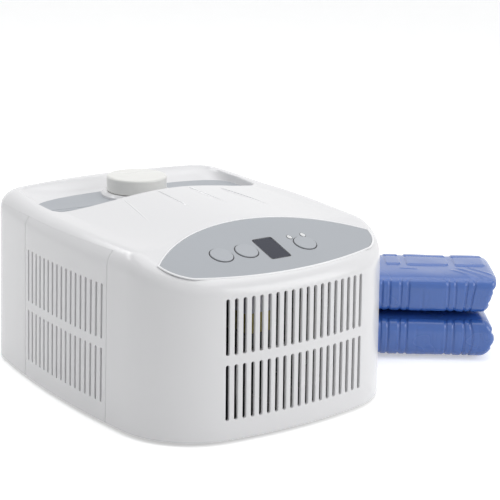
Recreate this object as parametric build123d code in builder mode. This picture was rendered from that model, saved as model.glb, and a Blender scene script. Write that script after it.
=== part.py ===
from build123d import *
import math
import os

# Bedside water circulator with a folded water pad lying beside it.
# Millimetres, +Z up, +X to the unit's right, -Y is the unit's front, floor at Z = 0.

# Where the unit stands from the centre of the whole set
host_x = -79.632
host_y = -8.0

# Casing
width = 248.0
depth = 304.0
side_bulge = 12.0
end_bulge = 17.0
front_corner_radius = 67.0
rear_corner_radius = 36.0
foot_height = 3.0
draft = 1.16
wall = 2.5
flange_wall = 1.5
seam = 0.4
flange_width = 6.0
shoulder_radius = 15.0
shoulder_line = 126.8
rim_rear_height = 146.5
rim_bend = 150.0
block_height = 160.0
rim_share = 0.78
cut_reach = 50.0
hole_gap = 0.1

# Control slope
slope = 18.0
slope_front_y = 2.0 - depth / 2
slope_front_z = 120.5
rim_front_y = slope_front_y + 68.0

# Raised hood on the top
hood_front_y = slope_front_y + 50.0
hood_rear_y = 36.0
hood_front_half = 93.0
hood_rear_half = 62.0
hood_front_edge = 138.0
hood_front_crown = 145.0
hood_rear_edge = 147.0
hood_rear_crown = 154.0
hood_foot = 123.0

# Well behind the hood
well_floor = 137.0
well_front_y = 38.0
well_top_half = 99.0
well_top_side_y = 92.0
well_top_rear_y = 127.0
well_floor_half = 93.0
well_floor_side_y = 88.0
well_floor_rear_y = 107.0
well_top_z = 149.0
well_cut = 10.0
tray_gap = 0.5
tray_thickness = 1.2
louvre_count = 7
louvre_pitch = 6.0
louvre_width = 1.6
louvre_height = 1.2
louvre_inset = 6.0
louvre_shift = 4.0

# Slots of the front grille and the side vents
row_bottoms = (18.3, 68.8)
row_height = 43.2
front_slots = 19
front_pitch = 7.1
front_slot = 3.0
side_slots = 17
side_pitch = 7.14
side_slot = 2.3
side_middle_y = -3.0
panel_length = 127.0
panel_lap = 3.0
lap_gap = 0.05
panel_reach = 30.0

# Control facia and what it holds
facia_half = 99.0
facia_side_y = 44.0
facia_rear_y = 85.0
facia_corner_half = 82.0
facia_corner_y = 21.5
facia_corner_mid = (94.0, 31.5)
facia_front_y = 11.6
facia_proud = 0.3
facia_seat = 1.2
facia_ledge = 5.0
facia_gap = 0.2
facia_cut = 10.0
facia_tip_growth = 1.2
facia_corner_growth = 0.7
facia_bend_growth = (0.8, 0.6)
button_radius = 9.0
button_gap = 0.2
button_proud = 0.8
button_lip = 0.6
button_travel = 0.6
button_depth = 1.6
button_edge = 0.5
button_stem = 2.0
button_rest_gap = 0.1
button_places = {"button_left": (-44.5, 43.4), "button_middle": (-21.3, 43.4), "button_right": (33.2, 40.8)}
display_size = (17.9, 27.6)
display_place = (1.3, 42.0)
lamp_size = (4.0, 5.3)
lamp_places = ((25.8, 51.8), (38.9, 51.8))
lamp_gap = 0.05
lamp_proud = 0.25
window_gap = 0.05
window_sunk = 0.15
module_lap = 0.5
board_depth = 12.4
board_thickness = 1.6
board_size = (124.0, 44.0)
board_place = (0.0, 43.0)
board_corner = 3.0
switch_size = 6.0
switch_height = 1.6
plunger_radius = 1.7
plunger_height = 0.6
post_radius = 2.4
post_spacing = (114.0, 34.0)

# Water tank, filler neck and cap
tank_left = -58.0
tank_right = 74.0
tank_front = 50.0
tank_rear = 124.0
tank_floor = 8.0
tank_top = 112.0
tank_wall = 2.0
tank_corner = 10.0
lid_gap = 0.3
stem_gap = 0.1
filler_y = 81.0
neck_radius = 20.0
neck_wall = 2.5
neck_bore = neck_radius - neck_wall
neck_hole_gap = 0.5
neck_top = 152.0
neck_foot = tank_top - 6.0
collar_top = well_floor + 5.0
collar_gap = 0.3
collar_chamfer = 2.0
cap_radius = neck_radius + 7.0
cap_top = 164.7
cap_wall = 2.5
sleeve_wall = 2.0
sleeve_rise = 1.0
cap_rim_radius = 2.0
collar_radius = cap_radius + 3.5
cap_gap = 0.35
seal_height = 2.0
seal_lap = 1.0
neck_seal_lap = 3.0
neck_seal_height = 3.0
neck_seal_gap = 0.05
level_place = (46.0, 92.0)
level_rod = 3.0
float_radius = 12.0
float_height = 14.0
float_gap = 0.3
float_rest = 5.0
stem_foot_height = 3.0
stem_foot = (7.0, 2.0)
stem_flange = (8.0, 3.0)
drain_place = (20.0, 16.0)
drain_bore = 4.0
drain_wall = 2.0
drain_hole_gap = 0.5
drain_spigot_gap = 4.0
drain_fit = 0.06
drain_engaged = 6.0
drain_head = (9.0, 6.0)
drain_head_gap = 0.6
drain_grips = 10
drain_grip_radius = 1.2
drain_grip_ring = 9.6
tank_lap = 1.0

# Pump, fan and radiator
pump_place = (-52.0, 14.0)
pump_radius = 24.0
pump_floor = 8.0
volute_top = 28.0
pump_top = 56.0
pump_port_z = 17.0
pump_stub = 4.0
pump_outlet = 12.0
pump_wall = 2.0
pump_axle = 22.0
impeller_rise = 3.0
impeller_disc = (15.0, 2.0)
impeller_hub = (5.0, 11.0)
impeller_blades = 6
impeller_blade = (10.5, 1.4, 8.0)
impeller_blade_ring = 9.25
port_radius = 5.0
fan_place = (51.0, 63.0)
fan_size = 110.0
fan_front_y = -97.0
fan_depth = 26.0
fan_bore = 52.5
hub_radius = 20.0
blade_count = 7
blade_gap = 1.5
blade_width = 24.0
blade_thickness = 1.8
blade_pitch = 40.0
blade_overlap = 1.0
fan_corner = 6.0
fan_hole = 2.0
fan_hole_inset = 4.5
spoke_width = 5.0
spoke_depth = 4.0
spoke_lap = 1.0
rotor_gap = 1.0
axle_radius = 2.0
axle_clearance = 0.05
radiator_front_y = -70.0
radiator_depth = 22.0
radiator_fins = 22
radiator_tubes = 8
radiator_tank = 10.0
radiator_tube = 3.0
radiator_fin = 0.6
radiator_port_inset = 6.0
radiator_port_heights = (100.0, 20.0)
radiator_port_length = 8.0
radiator_edge = 2.0
hose_radius = 4.5
hose_bore = 3.2

# Mains parts
bracket_top = 61.5
transformer_place = (-17.0, -113.0)
coil_bottom = 73.6
coil_top = 89.0
bracket_left = 26.0
bracket_right = 22.0
bracket_sheet = 1.5
bracket_depth = 30.0
core_size = (34.0, 24.0)
core_limb = 12.0
coil_size = (26.0, 22.0)
coil_corner = 4.0
coil_gap = 0.2
terminal_size = (27.0, 20.0)
terminal_corner = 2.0
terminal_slots = 3
terminal_pitch = 8.0
terminal_slot = (5.0, 14.0, 8.0)
terminal_top = 112.0
power_board_place = (-66.0, -66.0)
power_board_size = (74.0, 60.0)
power_board_height = 14.0
board_stand = (3.0, 4.0)
capacitor_places = ((-20, -14), (-20, 12), (6, 14))
capacitor_size = (8.0, 24.0)

# Foam filters behind the side vents
filter_inset = 11.0
filter_thickness = 3.0
filter_margin = 7.0
filter_drop = 4.0
filter_height = 2 * row_height + 15.0

# Rear connections
coupling_x = -72.0
coupling_heights = {"outlet_coupling": 24.0, "inlet_coupling": 56.0}
coupling_wall_y = depth / 2 - 8.5
coupling_radius = 9.0
coupling_lap = 2.5
coupling_flange = 2.5
coupling_inside = 4.0
coupling_outside = 6.0
barb_y = coupling_wall_y - 6.0
nipple_radius = 4.5
nipple_bore = 3.0
nipple_length = 16.0
gland_place = (60.0, 30.0)
gland_bore = 3.4
gland_radius = 7.0
gland_inside = 18.0
gland_length = 16.0
gland_flange = 2.5
gland_flange_y = depth / 2 - 3.2

# Feet and screws
foot_radius = 9.0
foot_stem = 3.0
foot_stem_proud = 0.6
foot_place = (width / 2 - 39.0, depth / 2 - 47.0)
pan_thickness = 3.0
pan_gap = 0.2
pan_fit = 0.15
pan_cut = 20.0
rib_size = (90.0, 3.0)
rib_inset = 12.0
pump_foot = 14.0
screw_place = (60.0, depth / 2 - 16.0)
screw_radius = 1.5
screw_hole_gap = 0.2
screw_length = 12.0
screw_head = (3.4, 1.8)
screw_head_gap = 0.3
screw_recess = 2.0
lug_size = (14.0, 20.0)
lug_height = 12.0

# Folded water pad
pad_place = (width / 2 + 68.5, -92.1)
pad_turn = -36.65
pad_left = -74.0
pad_right = 54.0
pad_depth = 88.0
pad_lower_height = 39.6
pad_upper_height = 37.0
pad_gap = 0.4
pad_fold_radius = 15.0
pad_draw_in = 9.0
pad_draw_steps = ((0.0, 1.0), (4.0, 0.35), (9.0, 0.0))
weld_depth = 1.3
weld_half = 2.2
weld_slope = 1.1
weld_places = (-61.0, -42.0, -24.5, 16.0, 31.0)
web_thickness = 2.0
web_height = 22.0
web_gap = 0.3
web_inset = 14.0
port_v = 45.0
port_heights = (14.0, 26.0)
port_root = 6.0
elbow_size = 11.0
elbow_corner = 1.5
elbow_gap = 1.0
port_pin = 14.0

os.makedirs("parts", exist_ok=True)

# Boxes and cylinders that stand on their own place
standing = (Align.CENTER, Align.CENTER, Align.MIN)


def level(height):
    """A flat plane over the unit's middle."""
    return Plane(origin=(host_x, host_y, height), x_dir=(1, 0, 0), z_dir=(0, 0, 1))


def facing_front(y):
    """An upright plane across the unit that looks towards its front."""
    return Plane(origin=(host_x, host_y + y, 0), x_dir=(1, 0, 0), z_dir=(0, -1, 0))


def facing_right(x):
    """An upright plane along the unit that looks towards its right."""
    return Plane(origin=(host_x + x, host_y, 0), x_dir=(0, 1, 0), z_dir=(1, 0, 0))


tilt = math.radians(slope)


def on_slope(rise):
    """The control slope's plane, raised by rise along its normal."""
    foot = (
        host_x,
        host_y + slope_front_y - rise * math.sin(tilt),
        slope_front_z + rise * math.cos(tilt),
    )
    return Plane(origin=foot, x_dir=(1, 0, 0), z_dir=(0, -math.sin(tilt), math.cos(tilt)))


def slope_height(y):
    """Height of the control slope at a distance y from the unit's middle."""
    return slope_front_z + (y - slope_front_y) * math.tan(tilt)


def save(piece, name):
    """Label a finished piece and write it to its own file."""
    piece.part.label = name
    export_step(piece.part, f"parts/{name}.step")


# The bowed walls are arcs about far centres
corner_x = width / 2 - side_bulge
corner_y = depth / 2 - end_bulge
end_bow = (corner_x**2 + end_bulge**2) / (2 * end_bulge)
side_bow = (corner_y**2 + side_bulge**2) / (2 * side_bulge)
end_centre = end_bow - depth / 2
side_centre = side_bow - width / 2


def bow_meeting(inset):
    """Where the rear and right bowed walls would meet, drawn in by inset: two circles' crossing."""
    span = math.hypot(end_centre, side_centre)
    reach = end_bow - inset
    share = (span**2 + reach**2 - (side_bow - inset) ** 2) / (2 * span)
    angle = math.acos(share / reach) + math.atan2(end_centre, side_centre)
    return -reach * math.cos(angle), reach * math.sin(angle) - end_centre


def floor_plan(inset):
    """The casing's bowed outline at its lower edge, drawn in by inset."""
    x, y = bow_meeting(inset)
    end_y = depth / 2 - inset
    side_x = width / 2 - inset
    with BuildSketch(level(foot_height)) as plan:
        with BuildLine():
            ThreePointArc((-x, -y), (0, -end_y), (x, -y))
            ThreePointArc((x, -y), (side_x, 0), (x, y))
            ThreePointArc((x, y), (0, end_y), (-x, y))
            ThreePointArc((-x, y), (-side_x, 0), (-x, -y))
        make_face()
        fillet(plan.vertices().sort_by(Axis.Y)[:2], front_corner_radius - inset)
        fillet(plan.vertices().sort_by(Axis.Y)[-2:], rear_corner_radius - inset)
    return plan.sketch


def casing_form(inset):
    """The casing's outer form without its hood and well, inset all round."""
    with BuildPart() as form:
        extrude(floor_plan(inset), amount=block_height, taper=draft)
        with BuildSketch(facing_right(0)) as profile:
            with BuildLine():
                Polyline(
                    (-depth, 0),
                    (-depth, slope_height(-depth) - inset),
                    (rim_front_y, slope_height(rim_front_y) - inset),
                    (depth, rim_rear_height - inset),
                    (depth, 0),
                    (-depth, 0),
                )
            make_face()
            bend = [v for v in profile.vertices() if abs(v.X - rim_front_y) < 1 and v.Y > 1]
            fillet(bend, rim_bend)
        extrude(amount=width, both=True, mode=Mode.INTERSECT)
        rim = form.edges().filter_by(lambda e: e.center().Z > rim_share * slope_front_z)
        across = rim.filter_by(GeomType.LINE).filter_by(Axis.X)
        fillet(rim - across, shoulder_radius - inset)
    return form.part


def hood_form(inset):
    """The raised hood: a crowned arch that rises towards the rear."""
    with BuildPart() as form:
        for y, half, edge, crown in (
            (hood_front_y, hood_front_half, hood_front_edge, hood_front_crown),
            (hood_rear_y, hood_rear_half, hood_rear_edge, hood_rear_crown),
        ):
            with BuildSketch(facing_front(y - inset)):
                with BuildLine():
                    right = (half - inset, edge - inset)
                    left = (inset - half, edge - inset)
                    ThreePointArc(left, (0, crown - inset), right)
                    Polyline(right, (right[0], hood_foot), (left[0], hood_foot), left)
                make_face()
        loft(ruled=True)
        with BuildSketch(facing_right(0)):
            with BuildLine():
                Polyline(
                    (-depth, 0),
                    (-depth, slope_height(-depth) - inset),
                    (0, slope_height(0) - inset),
                    (depth, slope_height(0) - inset),
                    (depth, 0),
                    (-depth, 0),
                )
            make_face()
        extrude(amount=width, both=True, mode=Mode.INTERSECT)
    return form.part


def well_outline(height, half, front_y, side_y, rear_y):
    """The well's outline at a height, with straight front and ends and a bowed rear."""
    with BuildSketch(level(height)) as outline:
        with BuildLine():
            Polyline((-half, side_y), (-half, front_y), (half, front_y), (half, side_y))
            ThreePointArc((half, side_y), (0, rear_y), (-half, side_y))
        make_face()
    return outline.sketch


def well_form(grow):
    """The hollow behind the hood, grown all round by grow."""
    front_y = well_front_y - grow
    floor_rear_y = well_floor_rear_y + grow
    top_rear_y = well_top_rear_y + grow
    with BuildPart() as form:
        add(well_outline(well_floor - grow, well_floor_half + grow, front_y, well_floor_side_y, floor_rear_y))
        add(well_outline(well_top_z, well_top_half + grow, front_y, well_top_side_y, top_rear_y))
        loft(ruled=True)
        add(well_outline(well_top_z, well_top_half + grow, front_y, well_top_side_y, top_rear_y))
        extrude(amount=block_height - well_top_z)
    return form.part


with BuildPart() as outer_form:
    add(casing_form(0))
    add(hood_form(0))
    add(well_form(0), mode=Mode.SUBTRACT)

with BuildPart() as cavity_form:
    add(casing_form(wall))
    add(hood_form(wall))
    add(well_form(wall), mode=Mode.SUBTRACT)

with BuildPart() as flange_form:
    add(casing_form(wall + flange_wall))

with BuildPart() as lap_clearance:
    add(casing_form(wall - lap_gap))
    add(casing_form(wall + lap_gap), mode=Mode.SUBTRACT)

side_x = width / 2
panel_front_y = side_middle_y - panel_length / 2
panel_rear_y = side_middle_y + panel_length / 2
pan_top = foot_height + pan_thickness
flange_floor = pan_top + pan_gap


def region(x_range, y_range, z_range):
    """A box of the unit's space, between pairs of limits."""
    with BuildPart(level(z_range[0])) as box:
        with Locations(((x_range[0] + x_range[1]) / 2, (y_range[0] + y_range[1]) / 2, 0)):
            Box(
                x_range[1] - x_range[0],
                y_range[1] - y_range[0],
                z_range[1] - z_range[0],
                align=standing,
            )
    return box.part


def vent_region(side, margin, bottom):
    """The space of one side vent, grown by margin."""
    near = (side_x - panel_reach) * side
    far = (side_x + panel_reach) * side
    limits = (min(near, far), max(near, far))
    return region(limits, (panel_front_y - margin, panel_rear_y + margin), (bottom, shoulder_line + margin))


rear_region = region((-side_x, side_x), (panel_rear_y + seam / 2, depth), (0, shoulder_line - seam / 2))
rear_opening = region((-side_x, side_x), (panel_rear_y - seam / 2, depth), (0, shoulder_line + seam / 2))


def facia_outline(rise, margin):
    """The lens-shaped outline of the control facia, grown by margin, at a rise over the slope."""
    tip_half = facia_half + facia_tip_growth * margin
    corner_half = facia_corner_half + facia_corner_growth * margin
    corner_up = facia_corner_y - facia_corner_growth * margin
    bend_half = facia_corner_mid[0] + facia_bend_growth[0] * margin
    bend_up = facia_corner_mid[1] - facia_bend_growth[1] * margin
    with BuildSketch(on_slope(rise)) as outline:
        with BuildLine():
            ThreePointArc((-tip_half, facia_side_y), (0, facia_rear_y + margin), (tip_half, facia_side_y))
            ThreePointArc((-corner_half, corner_up), (0, facia_front_y - margin), (corner_half, corner_up))
            for side in (-1, 1):
                ThreePointArc(
                    (tip_half * side, facia_side_y),
                    (bend_half * side, bend_up),
                    (corner_half * side, corner_up),
                )
        make_face()
    return outline.sketch


def slot_rows(plane, count, pitch, slot, middle):
    """Two rows of upright round-ended slots on an upright plane."""
    with BuildSketch(plane) as slots:
        for bottom in row_bottoms:
            with Locations((middle, bottom + row_height / 2)):
                with GridLocations(pitch, 1, count, 1):
                    SlotOverall(row_height, slot, rotation=90)
    return slots.sketch


def flange_ring(outline, opening, own):
    """A rim just inside the wall, over a region less an opening, clear of the walls beside its own."""
    with BuildPart() as clearance:
        add(lap_clearance.part)
        add(own, mode=Mode.SUBTRACT)
    with BuildPart() as ring:
        add(casing_form(wall))
        add(flange_form.part, mode=Mode.SUBTRACT)
        add(outline, mode=Mode.INTERSECT)
        add(opening, mode=Mode.SUBTRACT)
        add(clearance.part, mode=Mode.SUBTRACT)
    return ring.part


lug_limit = casing_form(wall / 2)


def screw_lug(x, side):
    """A block inside a wall that takes one base screw, cut off inside the wall."""
    with BuildPart() as lug:
        with BuildSketch(level(flange_floor)):
            with Locations((x, side * screw_place[1])):
                Rectangle(*lug_size)
                Circle(screw_radius, mode=Mode.SUBTRACT)
        extrude(amount=lug_height)
        add(lug_limit, mode=Mode.INTERSECT)
    return lug.part


# Main cover: front wall, shoulders, control slope, hood and well in one moulding
with BuildPart() as main_cover:
    add(outer_form.part)
    add(cavity_form.part, mode=Mode.SUBTRACT)
    for side in (-1, 1):
        add(vent_region(side, seam / 2, 0), mode=Mode.SUBTRACT)
    add(rear_opening, mode=Mode.SUBTRACT)
    front_vent = slot_rows(facing_front((cut_reach - depth) / 2), front_slots, front_pitch, front_slot, 0)
    extrude(front_vent, amount=cut_reach, mode=Mode.SUBTRACT)
    extrude(facia_outline(-facia_seat, facia_gap), amount=facia_cut, mode=Mode.SUBTRACT)
    extrude(facia_outline(-facia_cut, -facia_ledge), amount=2 * facia_cut, mode=Mode.SUBTRACT)
    with BuildSketch(level(well_floor - well_cut)):
        with Locations((0, filler_y)):
            Circle(neck_radius + neck_hole_gap)
    extrude(amount=2 * well_cut, mode=Mode.SUBTRACT)
    with BuildSketch(level(well_floor)):
        with Locations((0, filler_y)):
            Circle(collar_radius + collar_gap)
    extrude(amount=2 * well_cut, mode=Mode.SUBTRACT)
    for x in (-screw_place[0], screw_place[0]):
        add(screw_lug(x, -1))
save(main_cover, "main_cover")

# Rear cover: rear wall and corners, lapping behind the main cover and the vents
rear_flange = flange_ring(
    region((-side_x, side_x), (panel_rear_y - panel_lap, depth), (flange_floor, shoulder_line + panel_lap)),
    region((-side_x, side_x), (panel_rear_y + flange_width, depth), (0, shoulder_line - flange_width)),
    rear_region,
)
with BuildPart() as rear_cover:
    add(outer_form.part)
    add(cavity_form.part, mode=Mode.SUBTRACT)
    add(rear_region, mode=Mode.INTERSECT)
    add(rear_flange)
    for x in (-screw_place[0], screw_place[0]):
        add(screw_lug(x, 1))
    with BuildSketch(facing_front((depth - cut_reach) / 2)):
        for height in coupling_heights.values():
            with Locations((coupling_x, height)):
                Circle(coupling_radius + hole_gap)
        with Locations(gland_place):
            Circle(gland_radius + hole_gap)
        with Locations(drain_place):
            Circle(drain_bore + drain_wall + drain_hole_gap)
    extrude(amount=-cut_reach, mode=Mode.SUBTRACT)
save(rear_cover, "rear_cover")

# Side vents: panels between the seams, each with a lapping rim inside
for side, name in ((-1, "vent_panel_left"), (1, "vent_panel_right")):
    near = (side_x - panel_reach) * side
    far = (side_x + panel_reach) * side
    limits = (min(near, far), max(near, far))
    vent_flange = flange_ring(
        region(
            limits,
            (panel_front_y - panel_lap, panel_rear_y - panel_lap - seam),
            (flange_floor, shoulder_line + panel_lap),
        ),
        region(
            limits,
            (panel_front_y + panel_lap, panel_rear_y),
            (0, shoulder_line - flange_width - panel_lap),
        ),
        vent_region(side, -seam / 2, 0),
    )
    with BuildPart() as vent_panel:
        add(outer_form.part)
        add(cavity_form.part, mode=Mode.SUBTRACT)
        add(vent_region(side, -seam / 2, 0), mode=Mode.INTERSECT)
        add(vent_flange)
        side_vent = slot_rows(facing_right(near), side_slots, side_pitch, side_slot, side_middle_y)
        extrude(side_vent, amount=side * cut_reach, mode=Mode.SUBTRACT)
    save(vent_panel, name)

# Base pan with tank ribs, screw holes and foot holes
stand_spacing = tuple(size - 2 * board_stand[1] for size in power_board_size)
with BuildPart() as base_pan:
    extrude(floor_plan(wall + pan_fit), amount=pan_thickness)
    with Locations(level(pan_top)):
        with Locations((0, tank_front + rib_inset), (0, tank_rear - rib_inset)):
            Box(rib_size[0], rib_size[1], tank_floor - pan_top, align=standing)
        with Locations(pump_place):
            Cylinder(pump_foot, pump_floor - pan_top, align=standing)
        with Locations(power_board_place):
            with GridLocations(stand_spacing[0], stand_spacing[1], 2, 2):
                Cylinder(board_stand[0], power_board_height - pan_top, align=standing)
    with Locations(level(foot_height)):
        with GridLocations(2 * foot_place[0], 2 * foot_place[1], 2, 2):
            Cylinder(foot_stem + hole_gap, pan_cut, mode=Mode.SUBTRACT)
        with GridLocations(2 * screw_place[0], 2 * screw_place[1], 2, 2):
            Cylinder(screw_radius + screw_hole_gap, pan_cut, mode=Mode.SUBTRACT)
            Cylinder(screw_head[0] + screw_head_gap, 2 * screw_recess, mode=Mode.SUBTRACT)
save(base_pan, "base_pan")

with BuildPart(level(0)) as rubber_feet:
    with GridLocations(2 * foot_place[0], 2 * foot_place[1], 2, 2):
        Cylinder(foot_radius, foot_height, align=standing)
        Cylinder(foot_stem, pan_top + foot_stem_proud, align=standing)
save(rubber_feet, "rubber_feet")

with BuildPart(level(foot_height + screw_recess - screw_head[1])) as base_screws:
    with GridLocations(2 * screw_place[0], 2 * screw_place[1], 2, 2):
        Cylinder(screw_head[0], screw_head[1], align=standing)
        Cylinder(screw_radius, screw_length, align=standing)
save(base_screws, "base_screws")

# Control facia with its posts, window, lamps and buttons
with BuildPart() as facia_plate:
    extrude(facia_outline(-facia_seat, 0), amount=facia_seat + facia_proud)
    with BuildSketch(on_slope(-board_depth)):
        with Locations(board_place):
            with GridLocations(post_spacing[0], post_spacing[1], 2, 2):
                Circle(post_radius)
    extrude(amount=board_depth - facia_seat)
    with BuildSketch(on_slope(-board_depth / 2)):
        for place in button_places.values():
            with Locations(place):
                Circle(button_radius + button_gap)
        with Locations(display_place):
            Rectangle(*display_size)
        for place in lamp_places:
            with Locations(place):
                Ellipse(lamp_size[0] / 2, lamp_size[1] / 2)
    extrude(amount=board_depth, mode=Mode.SUBTRACT)
save(facia_plate, "facia_plate")

with BuildPart() as display_window:
    with BuildSketch(on_slope(-facia_seat)):
        with Locations(display_place):
            Rectangle(display_size[0] - 2 * window_gap, display_size[1] - 2 * window_gap)
    extrude(amount=facia_seat + facia_proud - window_sunk)
save(display_window, "display_window")

with BuildPart() as display_module:
    with BuildSketch(on_slope(-board_depth)):
        with Locations(display_place):
            Rectangle(display_size[0] + 2 * module_lap, display_size[1] + 2 * module_lap)
    extrude(amount=board_depth - facia_seat)
save(display_module, "display_module")

with BuildPart() as lamp_lenses:
    with BuildSketch(on_slope(-board_depth)):
        for place in lamp_places:
            with Locations(place):
                Ellipse(lamp_size[0] / 2 - lamp_gap, lamp_size[1] / 2 - lamp_gap)
    extrude(amount=board_depth + facia_proud + lamp_proud)
save(lamp_lenses, "lamp_lenses")

button_floor = facia_seat + button_depth
stem_bottom = board_depth - switch_height - plunger_height - button_travel - button_rest_gap
for name, place in button_places.items():
    with BuildPart() as button:
        with BuildSketch(on_slope(-button_floor - button_lip)):
            with Locations(place):
                Circle(button_radius + button_lip)
        extrude(amount=button_lip)
        with BuildSketch(on_slope(-button_floor)):
            with Locations(place):
                Circle(button_radius)
        extrude(amount=button_floor + facia_proud + button_proud)
        fillet(button.edges().filter_by(GeomType.CIRCLE).sort_by(Axis.Z)[-1], button_edge)
        with BuildSketch(on_slope(-stem_bottom)):
            with Locations(place):
                Circle(button_stem)
        extrude(amount=stem_bottom - button_floor)
    save(button, name)

with BuildPart() as control_board:
    with BuildSketch(on_slope(-board_depth - board_thickness)):
        with Locations(board_place):
            RectangleRounded(board_size[0], board_size[1], board_corner)
    extrude(amount=board_thickness)
save(control_board, "control_board")

with BuildPart() as tact_switches:
    for place in button_places.values():
        with BuildSketch(on_slope(-board_depth)):
            with Locations(place):
                Rectangle(switch_size, switch_size)
        extrude(amount=switch_height)
        with BuildSketch(on_slope(switch_height - board_depth)):
            with Locations(place):
                Circle(plunger_radius)
        extrude(amount=plunger_height)
save(tact_switches, "tact_switches")

# Louvred tray on the floor of the well
with BuildPart() as well_tray:
    tray = well_outline(
        well_floor,
        well_floor_half - tray_gap,
        well_front_y + tray_gap,
        well_floor_side_y,
        well_floor_rear_y - tray_gap,
    )
    extrude(tray, amount=tray_thickness)
    with Locations(level(well_floor + tray_thickness)):
        with Locations((0, (well_front_y + well_floor_side_y) / 2 - louvre_shift)):
            with GridLocations(1, louvre_pitch, 1, louvre_count):
                Box(
                    2 * (well_floor_half - louvre_inset),
                    louvre_width,
                    louvre_height,
                    align=standing,
                )
    with Locations(level(well_floor)):
        with Locations((0, filler_y)):
            Cylinder(collar_radius + collar_gap, 2 * well_cut, mode=Mode.SUBTRACT)
save(well_tray, "well_tray")

# Filler neck, and the collar round it that is seated on the well floor
filler_axis = Axis((host_x, host_y + filler_y, 0), (0, 0, 1))
filler_plane = Plane(origin=(host_x, host_y + filler_y, 0), x_dir=(1, 0, 0), z_dir=(0, -1, 0))
with BuildPart() as filler_neck:
    with Locations(level(neck_foot)):
        with Locations((0, filler_y)):
            Cylinder(neck_radius, neck_top - neck_foot, align=standing)
            Cylinder(neck_bore, 2 * neck_top, mode=Mode.SUBTRACT)
save(filler_neck, "filler_neck")

with BuildPart() as neck_collar:
    with BuildSketch(filler_plane):
        with BuildLine():
            Polyline(
                (neck_radius, well_floor),
                (collar_radius, well_floor),
                (collar_radius, collar_top - collar_chamfer),
                (collar_radius - collar_chamfer, collar_top),
                (neck_radius, collar_top),
                (neck_radius, well_floor),
            )
        make_face()
    revolve(axis=filler_axis)
save(neck_collar, "neck_collar")

with BuildPart(level(tank_top)) as neck_seal:
    with Locations((0, filler_y, 0)):
        Cylinder(neck_radius + neck_seal_lap, neck_seal_height, align=standing)
        Cylinder(neck_radius + neck_seal_gap, 4 * neck_seal_height, mode=Mode.SUBTRACT)
save(neck_seal, "neck_seal")

cap_bottom = collar_top + cap_gap
sleeve_bore = neck_radius + cap_gap
with BuildPart() as filler_cap:
    with BuildSketch(filler_plane) as cap_cut:
        with BuildLine():
            Polyline(
                (0, cap_top),
                (cap_radius, cap_top),
                (cap_radius, cap_bottom),
                (cap_radius - cap_wall, cap_bottom),
                (cap_radius - cap_wall, cap_top - cap_wall),
                (sleeve_bore + sleeve_wall, cap_top - cap_wall),
                (sleeve_bore + sleeve_wall, cap_bottom + sleeve_rise),
                (sleeve_bore, cap_bottom + sleeve_rise),
                (sleeve_bore, neck_top + seal_height),
                (0, neck_top + seal_height),
                (0, cap_top),
            )
        make_face()
        rim = [v for v in cap_cut.vertices() if v.X > cap_radius - 0.1 and v.Y > cap_top - 0.1]
        fillet(rim, cap_rim_radius)
    revolve(axis=filler_axis)
save(filler_cap, "filler_cap")

with BuildPart(level(neck_top)) as cap_seal:
    with Locations((0, filler_y, 0)):
        Cylinder(neck_radius, seal_height, align=standing)
        Cylinder(neck_bore - seal_lap, 4 * seal_height, mode=Mode.SUBTRACT)
save(cap_seal, "cap_seal")

# Water tank, open at its top, its pump port, its return port and its drain
tank_middle = ((tank_left + tank_right) / 2, (tank_front + tank_rear) / 2)
return_port = (62.0, pump_port_z)
pump_port = (pump_place[0] + pump_outlet, pump_port_z)
with BuildPart() as water_tank:
    with BuildSketch(level(tank_floor)):
        with Locations(tank_middle):
            RectangleRounded(tank_right - tank_left, tank_rear - tank_front, tank_corner)
    extrude(amount=tank_top - tank_wall - tank_floor)
    with BuildSketch(level(tank_floor + tank_wall)):
        with Locations(tank_middle):
            RectangleRounded(
                tank_right - tank_left - 2 * tank_wall,
                tank_rear - tank_front - 2 * tank_wall,
                tank_corner - tank_wall,
            )
    extrude(amount=tank_top - tank_floor, mode=Mode.SUBTRACT)
    with BuildSketch(facing_front(tank_rear - tank_lap)):
        with Locations(drain_place):
            Circle(drain_bore + drain_wall)
    extrude(amount=-(depth / 2 - drain_spigot_gap - tank_rear))
    with BuildSketch(facing_front(tank_rear - tank_corner)):
        with Locations(drain_place):
            Circle(drain_bore)
    extrude(amount=-depth / 4, mode=Mode.SUBTRACT)
    with BuildSketch(facing_front(tank_front + tank_corner)):
        with Locations(pump_port, return_port):
            Circle(port_radius + hole_gap)
    extrude(amount=2 * tank_corner, mode=Mode.SUBTRACT)
save(water_tank, "water_tank")

# Tank lid, welded on the tank's walls, with holes for the neck and the level stem
with BuildPart() as tank_lid:
    with BuildSketch(level(tank_top - tank_wall)):
        with Locations(tank_middle):
            RectangleRounded(tank_right - tank_left, tank_rear - tank_front, tank_corner)
        with Locations((0, filler_y)):
            Circle(neck_radius + lid_gap, mode=Mode.SUBTRACT)
        with Locations(level_place):
            Circle(level_rod + stem_gap, mode=Mode.SUBTRACT)
    extrude(amount=tank_wall)
save(tank_lid, "tank_lid")

stem_bottom_z = tank_floor + tank_wall + stem_foot_height
with BuildPart() as level_stem:
    with Locations(level(stem_bottom_z)):
        with Locations(level_place):
            Cylinder(level_rod, tank_top - stem_bottom_z + tank_wall, align=standing)
            Cylinder(stem_foot[0], stem_foot[1], align=standing)
    with Locations(level(tank_top)):
        with Locations(level_place):
            Cylinder(stem_flange[0], stem_flange[1], align=standing)
save(level_stem, "level_stem")

with BuildPart(level(tank_floor + tank_wall + float_rest)) as level_float:
    with Locations(level_place):
        Cylinder(float_radius, float_height, align=standing)
        Cylinder(level_rod + float_gap, 4 * float_height, mode=Mode.SUBTRACT)
save(level_float, "level_float")

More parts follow.
